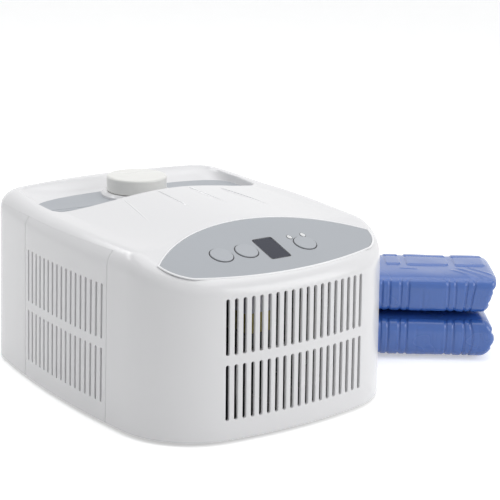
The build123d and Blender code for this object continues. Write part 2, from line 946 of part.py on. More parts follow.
drain_head_y = depth / 2 + drain_head_gap
drain_tip_y = tank_rear + drain_engaged
with BuildPart() as drain_plug:
    with BuildSketch(facing_front(drain_tip_y)):
        with Locations(drain_place):
            Circle(drain_bore - drain_fit)
    extrude(amount=-(drain_head_y - drain_tip_y))
    with BuildSketch(facing_front(drain_head_y)):
        with Locations(drain_place):
            Circle(drain_head[0])
            with PolarLocations(drain_grip_ring, drain_grips):
                Circle(drain_grip_radius, mode=Mode.SUBTRACT)
    extrude(amount=-drain_head[1])
save(drain_plug, "drain_plug")

# Pump: volute and motor case in one moulding, with the impeller inside the volute
with BuildPart() as pump_body:
    with Locations(level(pump_floor)):
        with Locations(pump_place):
            Cylinder(pump_radius, pump_top - pump_floor, align=standing)
    with BuildSketch(facing_front(pump_place[1])):
        with Locations(pump_port):
            Circle(port_radius)
    extrude(amount=-(tank_front + tank_wall - pump_place[1]))
    with BuildSketch(facing_right(pump_place[0])):
        with Locations((pump_place[1], pump_port_z)):
            Circle(port_radius)
    extrude(amount=-(pump_radius + pump_stub))
    with BuildSketch(facing_front(pump_place[1])):
        with Locations(pump_port):
            Circle(hose_bore)
    extrude(amount=-(tank_front + tank_corner - pump_place[1]), mode=Mode.SUBTRACT)
    with BuildSketch(facing_right(pump_place[0])):
        with Locations((pump_place[1], pump_port_z)):
            Circle(hose_bore)
    extrude(amount=-2 * pump_radius, mode=Mode.SUBTRACT)
    with Locations(level(pump_floor + pump_wall)):
        with Locations(pump_place):
            Cylinder(
                pump_radius - pump_wall,
                volute_top - pump_floor - 2 * pump_wall,
                align=standing,
                mode=Mode.SUBTRACT,
            )
    with Locations(level(pump_floor + pump_wall / 2)):
        with Locations(pump_place):
            Cylinder(axle_radius, pump_axle, align=standing)
save(pump_body, "pump_body")

with BuildPart() as pump_impeller:
    with Locations(level(pump_floor + impeller_rise)):
        with Locations(pump_place):
            Cylinder(impeller_disc[0], impeller_disc[1], align=standing)
            Cylinder(impeller_hub[0], impeller_hub[1], align=standing)
            with PolarLocations(impeller_blade_ring, impeller_blades):
                Box(*impeller_blade, align=standing)
            Cylinder(axle_radius + axle_clearance, pump_top, mode=Mode.SUBTRACT)
save(pump_impeller, "pump_impeller")

# Fan: square frame with spokes and axle, and its rotor
fan_rear_y = fan_front_y + fan_depth
with BuildPart() as fan_frame:
    with BuildSketch(facing_front(fan_rear_y)):
        with Locations(fan_place):
            RectangleRounded(fan_size, fan_size, fan_corner)
            Circle(fan_bore, mode=Mode.SUBTRACT)
            with GridLocations(fan_size - 2 * fan_hole_inset, fan_size - 2 * fan_hole_inset, 2, 2):
                Circle(fan_hole, mode=Mode.SUBTRACT)
    extrude(amount=fan_depth)
    with BuildSketch(facing_front(fan_rear_y)):
        with Locations(fan_place):
            Rectangle(2 * (fan_bore + spoke_lap), spoke_width)
            Rectangle(spoke_width, 2 * (fan_bore + spoke_lap))
            Circle(hub_radius)
    extrude(amount=spoke_depth)
    with BuildSketch(facing_front(fan_rear_y - spoke_depth / 2)):
        with Locations(fan_place):
            Circle(axle_radius)
    extrude(amount=fan_depth - spoke_depth - 2 * rotor_gap)
save(fan_frame, "fan_frame")

rotor_rear_y = fan_rear_y - spoke_depth - rotor_gap
rotor_depth = fan_depth - spoke_depth - 2 * rotor_gap
blade_length = fan_bore - hub_radius + blade_overlap
with BuildPart() as fan_rotor:
    with BuildSketch(facing_front(rotor_rear_y)):
        with Locations(fan_place):
            Circle(hub_radius)
    extrude(amount=rotor_depth)
    with Locations(facing_front(rotor_rear_y - rotor_depth / 2)):
        with Locations(fan_place):
            with PolarLocations((hub_radius + fan_bore) / 2 - blade_overlap, blade_count):
                Box(blade_length, blade_width, blade_thickness, rotation=(blade_pitch, 0, 0))
    with BuildSketch(facing_front(rotor_rear_y)):
        with Locations(fan_place):
            Circle(fan_bore - blade_gap)
    extrude(amount=rotor_depth, mode=Mode.INTERSECT)
    with BuildSketch(facing_front(fan_rear_y)):
        with Locations(fan_place):
            Circle(axle_radius + axle_clearance)
    extrude(amount=fan_depth - rotor_gap - axle_radius, mode=Mode.SUBTRACT)
save(fan_rotor, "fan_rotor")

# Radiator: end tanks, flat tubes and fins between them
radiator_rear_y = radiator_front_y + radiator_depth
radiator_port_x = fan_size / 2 - radiator_port_inset
radiator_in = (fan_place[0] - radiator_port_x, radiator_port_heights[0])
radiator_out = (fan_place[0] + radiator_port_x, radiator_port_heights[1])
with BuildPart() as radiator:
    with BuildSketch(facing_front(radiator_rear_y)):
        with Locations(fan_place):
            with GridLocations(fan_size - radiator_tank, 1, 2, 1):
                Rectangle(radiator_tank, fan_size)
            with GridLocations(1, (fan_size - radiator_tube) / (radiator_tubes - 1), 1, radiator_tubes):
                Rectangle(fan_size - radiator_tank - radiator_edge, radiator_tube)
            with GridLocations((fan_size - 2 * radiator_tank) / (radiator_fins + 1), 1, radiator_fins, 1):
                Rectangle(radiator_fin, fan_size - radiator_edge)
    extrude(amount=radiator_depth)
    with BuildSketch(facing_front(radiator_rear_y)):
        with Locations(radiator_in, radiator_out):
            Circle(port_radius)
    extrude(amount=-radiator_port_length)
save(radiator, "radiator")

# Mains parts behind the grille
left_x = transformer_place[0] - bracket_left
right_x = transformer_place[0] + bracket_right
with BuildPart() as transformer_bracket:
    with BuildSketch(facing_front(transformer_place[1] + bracket_depth / 2)):
        with BuildLine():
            Polyline(
                (left_x, pan_top),
                (left_x, bracket_top),
                (right_x, bracket_top),
                (right_x, pan_top),
                (right_x - bracket_sheet, pan_top),
                (right_x - bracket_sheet, bracket_top - bracket_sheet),
                (left_x + bracket_sheet, bracket_top - bracket_sheet),
                (left_x + bracket_sheet, pan_top),
                (left_x, pan_top),
            )
        make_face()
    extrude(amount=bracket_depth)
save(transformer_bracket, "transformer_bracket")

with BuildPart(level(bracket_top)) as transformer_core:
    with Locations(transformer_place):
        Box(*core_size, coil_bottom - bracket_top, align=standing)
        Box(core_limb, core_limb, coil_top - bracket_top, align=standing)
save(transformer_core, "transformer_core")

with BuildPart() as transformer_coil:
    with BuildSketch(level(coil_bottom)):
        with Locations(transformer_place):
            RectangleRounded(*coil_size, coil_corner)
            Rectangle(core_limb + 2 * coil_gap, core_limb + 2 * coil_gap, mode=Mode.SUBTRACT)
    extrude(amount=coil_top - coil_bottom)
save(transformer_coil, "transformer_coil")

with BuildPart() as terminal_block:
    with BuildSketch(level(coil_top)):
        with Locations(transformer_place):
            RectangleRounded(*terminal_size, terminal_corner)
    extrude(amount=terminal_top - coil_top)
    with Locations(level(terminal_top)):
        with Locations(transformer_place):
            with GridLocations(terminal_pitch, 1, terminal_slots, 1):
                Box(*terminal_slot, mode=Mode.SUBTRACT)
save(terminal_block, "terminal_block")

with BuildPart(level(power_board_height)) as power_board:
    with Locations(power_board_place):
        Box(*power_board_size, board_thickness, align=standing)
save(power_board, "power_board")

with BuildPart(level(power_board_height + board_thickness)) as capacitors:
    with Locations(power_board_place):
        with Locations(*capacitor_places):
            Cylinder(*capacitor_size, align=standing)
save(capacitors, "capacitors")

# Foam filters behind the side vents
for side, name in ((-1, "dust_filter_left"), (1, "dust_filter_right")):
    with BuildPart(level(row_bottoms[0] - filter_drop)) as dust_filter:
        with Locations((side * (side_x - filter_inset), side_middle_y, 0)):
            Box(
                filter_thickness,
                panel_length - 2 * filter_margin,
                filter_height,
                align=standing,
            )
    save(dust_filter, name)

# Hose couplings on the rear wall, with barbs for the inner hoses
flange_rear_y = coupling_wall_y + coupling_outside + coupling_flange
for name, height in coupling_heights.items():
    with BuildPart() as coupling:
        with BuildSketch(facing_front(coupling_wall_y - coupling_inside)):
            with Locations((coupling_x, height)):
                Circle(coupling_radius)
        extrude(amount=-(coupling_inside + coupling_outside))
        with BuildSketch(facing_front(coupling_wall_y + coupling_outside)):
            with Locations((coupling_x, height)):
                Circle(coupling_radius + coupling_lap)
        extrude(amount=-coupling_flange)
        with BuildSketch(facing_front(barb_y)):
            with Locations((coupling_x, height)):
                Circle(nipple_radius)
        extrude(amount=-(flange_rear_y + nipple_length - barb_y))
        with BuildSketch(facing_front(barb_y - nipple_bore)):
            with Locations((coupling_x, height)):
                Circle(nipple_bore)
        extrude(amount=-2 * cut_reach, mode=Mode.SUBTRACT)
    save(coupling, name)

with BuildPart() as power_gland:
    with BuildSketch(facing_front(depth / 2 - gland_inside)):
        with Locations(gland_place):
            Circle(gland_radius)
    extrude(amount=-gland_length)
    with BuildSketch(facing_front(gland_flange_y)):
        with Locations(gland_place):
            Circle(gland_radius + gland_flange)
    extrude(amount=-gland_flange)
    with BuildSketch(facing_front((depth - cut_reach) / 2)):
        with Locations(gland_place):
            Circle(gland_bore)
    extrude(amount=-cut_reach, mode=Mode.SUBTRACT)
save(power_gland, "power_gland")

# Inner hoses: straight runs joined by tangent arcs
outlet_z = coupling_heights["outlet_coupling"]
inlet_z = coupling_heights["inlet_coupling"]
pump_tip_x = pump_place[0] - pump_radius - pump_stub
hose_routes = {
    "supply_hose": (
        (pump_tip_x, pump_place[1], pump_port_z),
        (pump_tip_x - 14, pump_place[1], pump_port_z),
        (pump_tip_x - 22, pump_place[1] + 11, pump_port_z),
        (pump_tip_x - 22, pump_place[1] + 46, pump_port_z + 3),
        (coupling_x - 14, barb_y - 40, outlet_z),
        (coupling_x, barb_y - 22, outlet_z),
        (coupling_x, barb_y, outlet_z),
    ),
    "return_hose": (
        (coupling_x, barb_y, inlet_z),
        (coupling_x, barb_y - 24, inlet_z),
        (coupling_x - 14, barb_y - 60, inlet_z + 14),
        (coupling_x + 6, 18, 86),
        (radiator_in[0] - 28, -8, radiator_in[1]),
        (radiator_in[0], radiator_rear_y + 26, radiator_in[1]),
        (radiator_in[0], radiator_rear_y + radiator_port_length, radiator_in[1]),
    ),
    "radiator_hose": (
        (radiator_out[0], radiator_rear_y + radiator_port_length, radiator_out[1]),
        (radiator_out[0], radiator_rear_y + 28, radiator_out[1]),
        (radiator_out[0] - 12, 4, pump_port_z + 1),
        (return_port[0], tank_front - 30, pump_port_z),
        (return_port[0], tank_front + tank_wall, pump_port_z),
    ),
}


def corner_radii(points):
    """0.45 of the shorter run over the tangent of half the turn, at each inner point."""
    radii = []
    for before, here, after in zip(points, points[1:], points[2:]):
        run_in = Vector(*here) - Vector(*before)
        run_out = Vector(*after) - Vector(*here)
        turn = math.radians(run_in.get_angle(run_out))
        radii.append(0.45 * min(run_in.length, run_out.length) / math.tan(turn / 2))
    return radii


for name, route in hose_routes.items():
    points = [(x + host_x, y + host_y, z) for x, y, z in route]
    radii = corner_radii(points)
    print(name, "radii", [round(r, 1) for r in radii])
    with BuildPart() as hose:
        with BuildLine() as hose_path:
            FilletPolyline(*points, radius=radii)
        start = Plane(origin=hose_path.line @ 0, z_dir=hose_path.line % 0)
        with BuildSketch(start):
            Circle(hose_radius)
            Circle(hose_bore, mode=Mode.SUBTRACT)
        sweep(path=hose_path.line)
    save(hose, name)

# Folded water pad: two bundles stacked, joined by a fold at the rear
turn = math.radians(pad_turn)
along = (math.cos(turn), math.sin(turn), 0)
inward = (-math.sin(turn), math.cos(turn), 0)


def across_pad(station):
    """The upright plane across the pad at a distance along it."""
    origin = (
        host_x + pad_place[0] + station * along[0],
        host_y + pad_place[1] + station * along[1],
        0,
    )
    return Plane(origin=origin, x_dir=inward, z_dir=along)


def pad_section(station, bottom, height, inset):
    """A rounded section of a bundle, its front and rear folds as round as its height allows."""
    with BuildSketch(across_pad(station)) as section:
        with Locations((pad_depth / 2, bottom + height / 2)):
            RectangleRounded(pad_depth - 2 * inset, height - 2 * inset, pad_fold_radius - inset)
    return section.sketch


def pad_stations():
    """Stations along a bundle and how far the section draws in at each."""
    stations = [(pad_left + step, share * pad_draw_in) for step, share in pad_draw_steps]
    for place in weld_places:
        stations += [
            (place - weld_half - weld_slope, 0.0),
            (place - weld_half + weld_slope, weld_depth),
            (place + weld_half - weld_slope, weld_depth),
            (place + weld_half + weld_slope, 0.0),
        ]
    ends = [(pad_right - step, share * pad_draw_in) for step, share in pad_draw_steps]
    return stations + ends[::-1]


def towards_rear(v):
    """The upright plane along the pad at a depth v, looking to its rear, with x against the pad's length."""
    origin = (host_x + pad_place[0] + v * inward[0], host_y + pad_place[1] + v * inward[1], 0)
    return Plane(origin=origin, x_dir=(-along[0], -along[1], 0), z_dir=inward)


def port_circles(station, radius):
    """Round outlines of the two water ports across the pad."""
    with BuildSketch(across_pad(station)) as circles:
        for height in port_heights:
            with Locations((port_v, height)):
                Circle(radius)
    return circles.sketch


pad_upper_bottom = pad_lower_height + pad_gap
for name, bottom, height in (
    ("pad_lower", 0.0, pad_lower_height),
    ("pad_upper", pad_upper_bottom, pad_upper_height),
):
    with BuildPart() as bundle:
        for station, inset in pad_stations():
            add(pad_section(station, bottom, height, inset))
        loft(ruled=True)
        if name == "pad_lower":
            extrude(port_circles(pad_left + port_root, nipple_radius), amount=-cut_reach, mode=Mode.SUBTRACT)
    save(bundle, name)

with BuildPart() as pad_fold:
    with BuildSketch(across_pad(pad_left + web_inset)):
        with Locations((pad_depth + web_gap + web_thickness / 2, pad_lower_height + pad_gap / 2)):
            RectangleRounded(web_thickness, web_height, 0.45 * web_thickness)
    extrude(amount=pad_right - pad_left - 2 * web_inset)
save(pad_fold, "pad_fold")

# The pad's two water ports leave its end and turn to its rear in an elbow
elbow_u = pad_left - elbow_gap - elbow_size / 2
elbow_rear = port_v + elbow_size / 2
with BuildPart() as pad_ports:
    extrude(port_circles(pad_left + port_root, nipple_radius), amount=-(port_root + elbow_gap + elbow_corner))
    with BuildSketch(towards_rear(port_v - elbow_size / 2)):
        for height in port_heights:
            with Locations((-elbow_u, height)):
                RectangleRounded(elbow_size, elbow_size, elbow_corner)
    extrude(amount=elbow_size)
    for radius, reach, mode in ((nipple_radius, elbow_rear, Mode.ADD), (nipple_bore, port_v, Mode.SUBTRACT)):
        with BuildSketch(towards_rear(reach)):
            for height in port_heights:
                with Locations((-elbow_u, height)):
                    Circle(radius)
        extrude(amount=elbow_rear + port_pin - reach, mode=mode)
    inner_run = port_root + elbow_gap + elbow_size / 2
    extrude(port_circles(pad_left + port_root, nipple_bore), amount=-inner_run, mode=Mode.SUBTRACT)
save(pad_ports, "pad_ports")
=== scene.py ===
"""Looks of a bedside water circulator and its folded water pad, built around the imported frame."""

import logging
import math
from dataclasses import dataclass
from enum import Enum
from typing import Callable, Sequence

import bpy
import numpy as np
from mathutils import Matrix, Vector


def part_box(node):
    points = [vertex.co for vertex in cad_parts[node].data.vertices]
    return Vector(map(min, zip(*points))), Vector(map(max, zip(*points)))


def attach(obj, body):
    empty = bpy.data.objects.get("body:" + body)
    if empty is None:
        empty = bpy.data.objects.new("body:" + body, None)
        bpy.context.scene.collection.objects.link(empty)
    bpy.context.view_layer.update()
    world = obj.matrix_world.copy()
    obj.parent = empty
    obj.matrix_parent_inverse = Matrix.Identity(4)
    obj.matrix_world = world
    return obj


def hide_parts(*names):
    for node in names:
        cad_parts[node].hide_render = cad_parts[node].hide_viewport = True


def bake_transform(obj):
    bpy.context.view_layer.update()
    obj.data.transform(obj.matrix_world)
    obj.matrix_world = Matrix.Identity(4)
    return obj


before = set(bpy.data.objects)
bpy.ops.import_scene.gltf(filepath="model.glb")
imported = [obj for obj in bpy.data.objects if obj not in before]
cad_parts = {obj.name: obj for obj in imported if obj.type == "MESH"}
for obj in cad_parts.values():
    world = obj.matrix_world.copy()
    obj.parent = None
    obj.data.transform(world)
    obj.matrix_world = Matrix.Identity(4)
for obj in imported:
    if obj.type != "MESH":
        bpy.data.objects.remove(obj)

log = logging.getLogger("water_circulator")

MM = 0.001

Array = np.ndarray
Pair = tuple[float, float]
Piece = bpy.types.Object
Tree = bpy.types.NodeTree


class Slot(Enum):
    """Kinds of finish listed beside the new pieces; nothing reads them."""

    CASING = "casing"
    LOUVRES = "louvres"
    DARK = "dark_plastic"
    PAD = "pad"
    CAP = "cap"


# Small formulas


def smooth_step(value: Array) -> Array:
    """Rise from 0 to 1 as value goes from 0 to 1, level at both ends: 3t² - 2t³."""
    t = np.clip(value, 0.0, 1.0)
    return t * t * (3 - 2 * t)


def smooth_least(first: Array, second: Array, width: float) -> Array:
    """The smaller of two heights, rounded where they differ by less than width.

    Formula: min(a, b) - h² · width / 4, where h = max(1 - |a - b| / width, 0).
    """
    h = np.maximum(1 - np.abs(first - second) / width, 0)
    return np.minimum(first, second) - h * h * width / 4


def rise_over(value: Array, start: float, length: float) -> Array:
    """Rise smoothly from 0 to 1 over a length from a start."""
    return smooth_step((value - start) / length)


def signed_power(wave: Array, power: Array | float) -> Array:
    """A sine or cosine raised to a power with its sign kept, as a superellipse needs it."""
    return np.sign(wave) * np.abs(wave) ** power


def full_turn(count: int) -> Array:
    """Angles all the way round, evenly apart."""
    return np.linspace(0, 2 * math.pi, count + 1)[:-1]


def joined(stretches: Sequence[Array]) -> Array:
    """Stretches laid end to end, with each shared end kept once."""
    return np.concatenate([stretches[0], *(stretch[1:] for stretch in stretches[1:])])


@dataclass
class HostPlace:
    """Where the unit's middle stands in the row frame, in millimetres."""

    x: float
    y: float

    @classmethod
    def from_frame(cls) -> "HostPlace":
        """Read the middle from the base pan's box, which is centred on the unit."""
        low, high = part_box("base_pan")
        return cls(x=(low.x + high.x) / 2 / MM, y=(low.y + high.y) / 2 / MM)

    def to_row(self, points: Array) -> Array:
        """Turn points about the unit's middle, in millimetres, into row metres."""
        return (points + np.array([self.x, self.y, 0.0])) * MM


# Meshes from arrays


class SkinMesh:
    """Collects grids of points, welds them and makes one Blender object."""

    INDEX_BITS = 20

    def __init__(self) -> None:
        """Start empty."""
        self.points: list[Array] = []
        self.faces: list[Array] = []
        self.count = 0

    def grid(self, points: Array, closed: bool = False, flip: bool = False) -> None:
        """Add a grid of points (columns, rows, 3) as quads.

        Args:
            points: Columns run anticlockwise seen from outside, rows run upwards.
            closed: Whether the last column joins the first.
            flip: Whether the faces look the other way.
        """
        columns, rows = points.shape[:2]
        index = np.arange(columns * rows).reshape(columns, rows)
        after = np.roll(index, -1, axis=0)
        last = columns if closed else columns - 1
        quads = np.stack(
            [index[:last, :-1], after[:last, :-1], after[:last, 1:], index[:last, 1:]], axis=-1
        ).reshape(-1, 4)
        self.points.append(points.reshape(-1, 3))
        self.faces.append((quads[:, ::-1] if flip else quads) + self.count)
        self.count += columns * rows

    def strip(self, first: Array, second: Array, flip: bool = False) -> None:
        """Add the strip of quads between two rows of as many points."""
        self.grid(np.stack([first, second], axis=1), flip=flip)

    def build(self, name: str, place: HostPlace, sharp_degrees: float = 38.0, weld: float = 0.0037) -> Piece:
        """Weld what was added and make the object, at the origin, smooth but for its sharp edges.

        Formula: points that round to the same multiple of weld are one; a quad with one doubled
        corner becomes a triangle, and one with more is dropped.

        Args:
            name: The object's name.
            place: Turns millimetres about the unit's middle into row metres.
            sharp_degrees: Edges that turn by more than this stay crisp.
            weld: Points nearer than this many millimetres are one.

        Returns:
            The new object, linked to the scene.
        """
        points = np.concatenate(self.points)
        bits = self.INDEX_BITS
        cells = np.round(points / weld).astype(np.int64) + 2 ** (bits - 1)
        keys = (cells[:, 0] << 2 * bits) + (cells[:, 1] << bits) + cells[:, 2]
        _, first, inverse = np.unique(keys, return_index=True, return_inverse=True)
        faces = inverse.reshape(-1)[np.concatenate(self.faces)]
        doubled = faces == np.roll(faces, 1, axis=1)
        crossed = (faces[:, 0] == faces[:, 2]) | (faces[:, 1] == faces[:, 3])
        quads = faces[(doubled.sum(axis=1) == 0) & ~crossed]
        thin = (doubled.sum(axis=1) == 1) & ~crossed
        triangles = faces[thin][~doubled[thin]].reshape(-1, 3)
        mesh = bpy.data.meshes.new(name)
        mesh.vertices.add(len(first))
        mesh.vertices.foreach_set("co", place.to_row(points[first]).ravel())
        mesh.loops.add(quads.size + triangles.size)
        mesh.loops.foreach_set("vertex_index", np.concatenate([quads.ravel(), triangles.ravel()]))
        starts = np.concatenate(
            [np.arange(len(quads)) * 4, quads.size + np.arange(len(triangles)) * 3])
        mesh.polygons.add(len(starts))
        mesh.polygons.foreach_set("loop_start", starts)
        mesh.update(calc_edges=True)
        mesh.validate()
        mesh.shade_smooth()
        mesh.set_sharp_from_angle(angle=math.radians(sharp_degrees))
        made = bpy.data.objects.new(name, mesh)
        bpy.context.scene.collection.objects.link(made)
        return made

    def drop_inside(self, inside: Callable[[Array], Array]) -> None:
        """Drop the faces whose corners all lie inside.

        Args:
            inside: Says of points (N, 3) which of them lie inside.
        """
        hit = inside(np.concatenate(self.points))
        self.faces = [block[~hit[block].all(axis=1)] for block in self.faces]


# The casing's outer form


@dataclass
class Quarter:
    """A quarter of the base outline: half an end arc, a corner arc and half a side arc."""

    end_bow: float
    side_bow: float
    half_width: float
    half_depth: float
    radius: float

    def __post_init__(self) -> None:
        """Find the corner arc that is tangent to both bowed walls, and the three arc lengths."""
        self.end_far = self.end_bow - self.half_depth
        self.side_far = self.side_bow - self.half_width
        reach_end = self.end_bow - self.radius
        reach_side = self.side_bow - self.radius
        span = math.hypot(self.side_far, self.end_far)
        share = (span**2 + reach_side**2 - reach_end**2) / (2 * span)
        angle = math.atan2(-self.end_far, self.side_far) + math.acos(share / reach_side)
        self.corner_x = reach_side * math.cos(angle) - self.side_far
        self.corner_y = reach_side * math.sin(angle)
        self.end_angle = math.atan2(self.corner_x, self.corner_y + self.end_far)
        self.end_arc = self.end_bow * self.end_angle
        self.corner_arc = self.radius * (math.pi / 2 - self.end_angle - angle)
        self.length = self.end_arc + self.corner_arc + self.side_bow * angle

    def at(self, along: Array) -> Array:
        """Point and outward normal at arc lengths from the end's middle towards the side's middle.

        Formula: on each of the three arcs, its centre plus its radius times the sine and cosine of
        the turn from straight ahead.

        Args:
            along: Arc lengths.

        Returns:
            Rows of x, y and the normal's x and y.
        """
        turn_corner = self.end_angle + (along - self.end_arc) / self.radius
        turn_side = math.pi / 2 - (self.length - along) / self.side_bow
        in_end = along < self.end_arc
        in_side = along > self.end_arc + self.corner_arc
        turn = np.where(in_end, along / self.end_bow, np.where(in_side, turn_side, turn_corner))
        nx, ny = np.sin(turn), np.cos(turn)
        x = np.where(in_end, self.end_bow * nx, np.where(
            in_side, self.side_bow * nx - self.side_far, self.corner_x + self.radius * nx))
        y = np.where(in_end, self.end_bow * ny - self.end_far, np.where(
            in_side, self.side_bow * ny, self.corner_y + self.radius * ny))
        return np.stack([x, y, nx, ny], -1)


@dataclass
class CasingShape:
    """The casing's outer form as formulas, in millimetres about the unit's middle.

    crown_end, rim_climb, rim_second_climb and crease_fade are each a start along y and a length.
    """

    width: float = 248.0
    depth: float = 304.0
    side_bulge: float = 12.0
    end_bulge: float = 17.0
    front_radius: float = 67.0
    rear_radius: float = 36.0
    base: float = 3.0
    draft: float = 1.16
    shoulder: float = 15.0
    slope: float = 18.0
    slope_y: float = -150.0
    slope_z: float = 120.5
    wall: float = 2.5
    edge_round: float = 0.5
    table_size: int = 6001
    solve_rounds: int = 24
    solve_step: float = 0.05
    first_inset: float = 17.0
    crown_front: float = 147.9
    crown_front_y: float = -70.0
    crown_rear: float = 154.0
    crown_rear_y: float = 33.0
    crown_least: float = -0.3
    crown_end: Pair = (40.0, 30.0)
    rim_front: float = 141.0
    rim_middle: float = 143.0
    rim_rear: float = 146.6
    rim_climb: Pair = (-85.0, 120.0)
    rim_second_climb: Pair = (38.0, 85.0)
    flank_half: float = 95.0
    crease_fade: Pair = (-78.0, 78.0)
    crease_share: float = 0.55
    slope_blend: float = 1.8

    def __post_init__(self) -> None:
        """Work out the outline's quarters and a table of the shoulder's arc round the casing."""
        half_w, half_d = self.width / 2, self.depth / 2
        end_bow = ((half_w - self.side_bulge) ** 2 + self.end_bulge**2) / (2 * self.end_bulge)
        side_bow = ((half_d - self.end_bulge) ** 2 + self.side_bulge**2) / (2 * self.side_bulge)
        self.end_bow, self.side_bow = end_bow, side_bow
        self.rear = Quarter(end_bow, side_bow, half_w, half_d, self.rear_radius)
        self.front = Quarter(end_bow, side_bow, half_w, half_d, self.front_radius)
        self.left_middle = self.rear.length
        self.front_middle = self.left_middle + self.front.length
        self.right_middle = self.front_middle + self.front.length
        self.turn = self.right_middle + self.rear.length
        self.tan_draft = math.tan(math.radians(self.draft))
        self.lean = math.radians(self.draft)
        self.table_stations = np.linspace(0, self.turn, self.table_size)
        self.table = self.solve_shoulder(self.table_stations)

    def outline(self, station: Array) -> tuple[Array, Array]:
        """Points and outward normals of the base outline.

        Formula: four quarters laid end to end, each mirrored into its place, and measured as arc
        length from the rear middle, anticlockwise seen from above.

        Args:
            station: Arc length from the rear middle.

        Returns:
            Points (N, 2) and unit normals (N, 2).
        """
        s = np.mod(np.asarray(station, float), self.turn)
        rear_along = np.where(s < self.left_middle, s, self.turn - s)
        front_along = np.abs(s - self.front_middle)
        rear = (s < self.left_middle) | (s > self.right_middle)
        found = np.where(
            rear[..., None],
            self.rear.at(np.clip(rear_along, 0, self.rear.length)),
            self.front.at(np.clip(front_along, 0, self.front.length)))
        flip_x = np.where(s < self.front_middle, -1.0, 1.0)
        flip_y = np.where(rear, 1.0, -1.0)
        flip = np.stack([flip_x, flip_y], -1)
        return found[..., :2] * flip, found[..., 2:] * flip

    def side_station(self, y: float, left: bool) -> float:
        """Arc length at a distance y along a side wall."""
        length = self.side_bow * math.asin(y / self.side_bow)
        return self.left_middle - length if left else self.right_middle + length

    def slope_height(self, y: Array) -> Array:
        """Height of the control slope's plane: rises evenly towards the rear."""
        return self.slope_z + (y - self.slope_y) * math.tan(math.radians(self.slope))

    def top_height(self, x: Array, y: Array) -> Array:
        """Height of the top over a point of the plan.

        Formula: the smaller of the slope's plane and a crowned hood. The hood is a rim height plus
        a crown that falls off sideways, part as a squared sine and part as a parabola, whose foot
        leaves a crease beside the rim that fades towards the front.

        Args:
            x: Distances to the right of the unit's middle.
            y: Distances behind it.

        Returns:
            The heights.
        """
        crown = self.crown_front + (self.crown_rear - self.crown_front) * np.clip(
            (y - self.crown_front_y) / (self.crown_rear_y - self.crown_front_y), self.crown_least, 1.0)
        rim = self.rim_front + (self.rim_middle - self.rim_front) * rise_over(y, *self.rim_climb)
        rim = rim + (self.rim_rear - self.rim_middle) * rise_over(y, *self.rim_second_climb)
        across = np.minimum(np.abs(x) / self.flank_half, 1.0)
        share = self.crease_share * rise_over(y, *self.crease_fade)
        fall = (1 - share) * np.sin(math.pi / 2 * across) ** 2 + share * across**2
        hood = rim + (crown - rim) * (1 - fall) * (1 - rise_over(y, *self.crown_end))
        return smooth_least(self.slope_height(y), hood, self.slope_blend)

    def inward_height(self, station: Array, inset: Array) -> Array:
        """Height of the top at an inset from the base outline.

        Args:
            station: Arc lengths.
            inset: How far in from it.

        Returns:
            The heights.
        """
        point, normal = self.outline(station)
        flat = point - normal * inset[..., None]
        return self.top_height(flat[..., 0], flat[..., 1])

    def solve_shoulder(self, station: Array) -> Array:
        """The shoulder's arc in each upright section, tangent to the drafted wall and to the top.

        Formula: the centre lies one radius inside the wall's line and one radius under the top's
        curve, found by repeating: take the top's slope over the centre, step to the tangent point,
        and set the centre from it again.

        Args:
            station: Arc lengths.

        Returns:
            The centre's inset and height, and the angle of the arc's upper end, as (3, N).
        """
        inset = np.full(np.shape(station), self.first_inset)
        contact = inset.copy()
        step = self.solve_step
        for _ in range(self.solve_rounds):
            rise = (self.inward_height(station, contact + step)
                    - self.inward_height(station, contact - step)) / (2 * step)
            scale = np.sqrt(1 + rise**2)
            contact = inset - self.shoulder * rise / scale
            height = self.inward_height(station, contact) - self.shoulder / scale
            inset = (height - self.base) * self.tan_draft + self.shoulder / math.cos(self.lean)
        return np.stack([inset, height, np.arctan2(1.0, rise)])

    def shoulder_arc(self, station: Array) -> tuple[Array, Array, Array]:
        """The arc's centre inset, centre height and end angle, read from the table."""
        s = np.mod(np.asarray(station, float), self.turn)
        return tuple(np.interp(s, self.table_stations, row) for row in self.table)

    def skin(self, station: Array, height: Array, sunk: Array | float = 0.0) -> Array:
        """Points of the wall and shoulder at a height, sunk inwards along the normal.

        Formula: the drafted wall up to the arc's foot, then the arc's inset at that height.

        Args:
            station: Arc lengths.
            height: Heights over the floor.
            sunk: Depth under the surface.

        Returns:
            The points.
        """
        inset, centre, _ = self.shoulder_arc(station)
        foot = centre + self.shoulder * math.sin(self.lean)
        up = np.clip((height - centre) / self.shoulder, -1, 1)
        on_wall = height < foot
        angle = np.where(on_wall, self.lean, np.arcsin(up))
        depth = np.where(
            on_wall, (height - self.base) * self.tan_draft, inset - self.shoulder * np.cos(angle))
        return self.lifted(station, angle, depth, height, sunk)

    def lifted(
        self, station: Array, angle: Array, depth: Array, height: Array, sunk: Array | float
    ) -> Array:
        """Points inside the outline, sunk along the normal.

        Args:
            station: Arc lengths.
            angle: The normal's angle over the horizon.
            depth: Depths inside the outline.
            height: Heights over the floor.
            sunk: Depth under the surface.

        Returns:
            The points.
        """
        point, normal = self.outline(station)
        flat = point - normal * (depth + sunk * np.cos(angle))[..., None]
        return np.concatenate([flat, (height - sunk * np.sin(angle))[..., None]], -1)

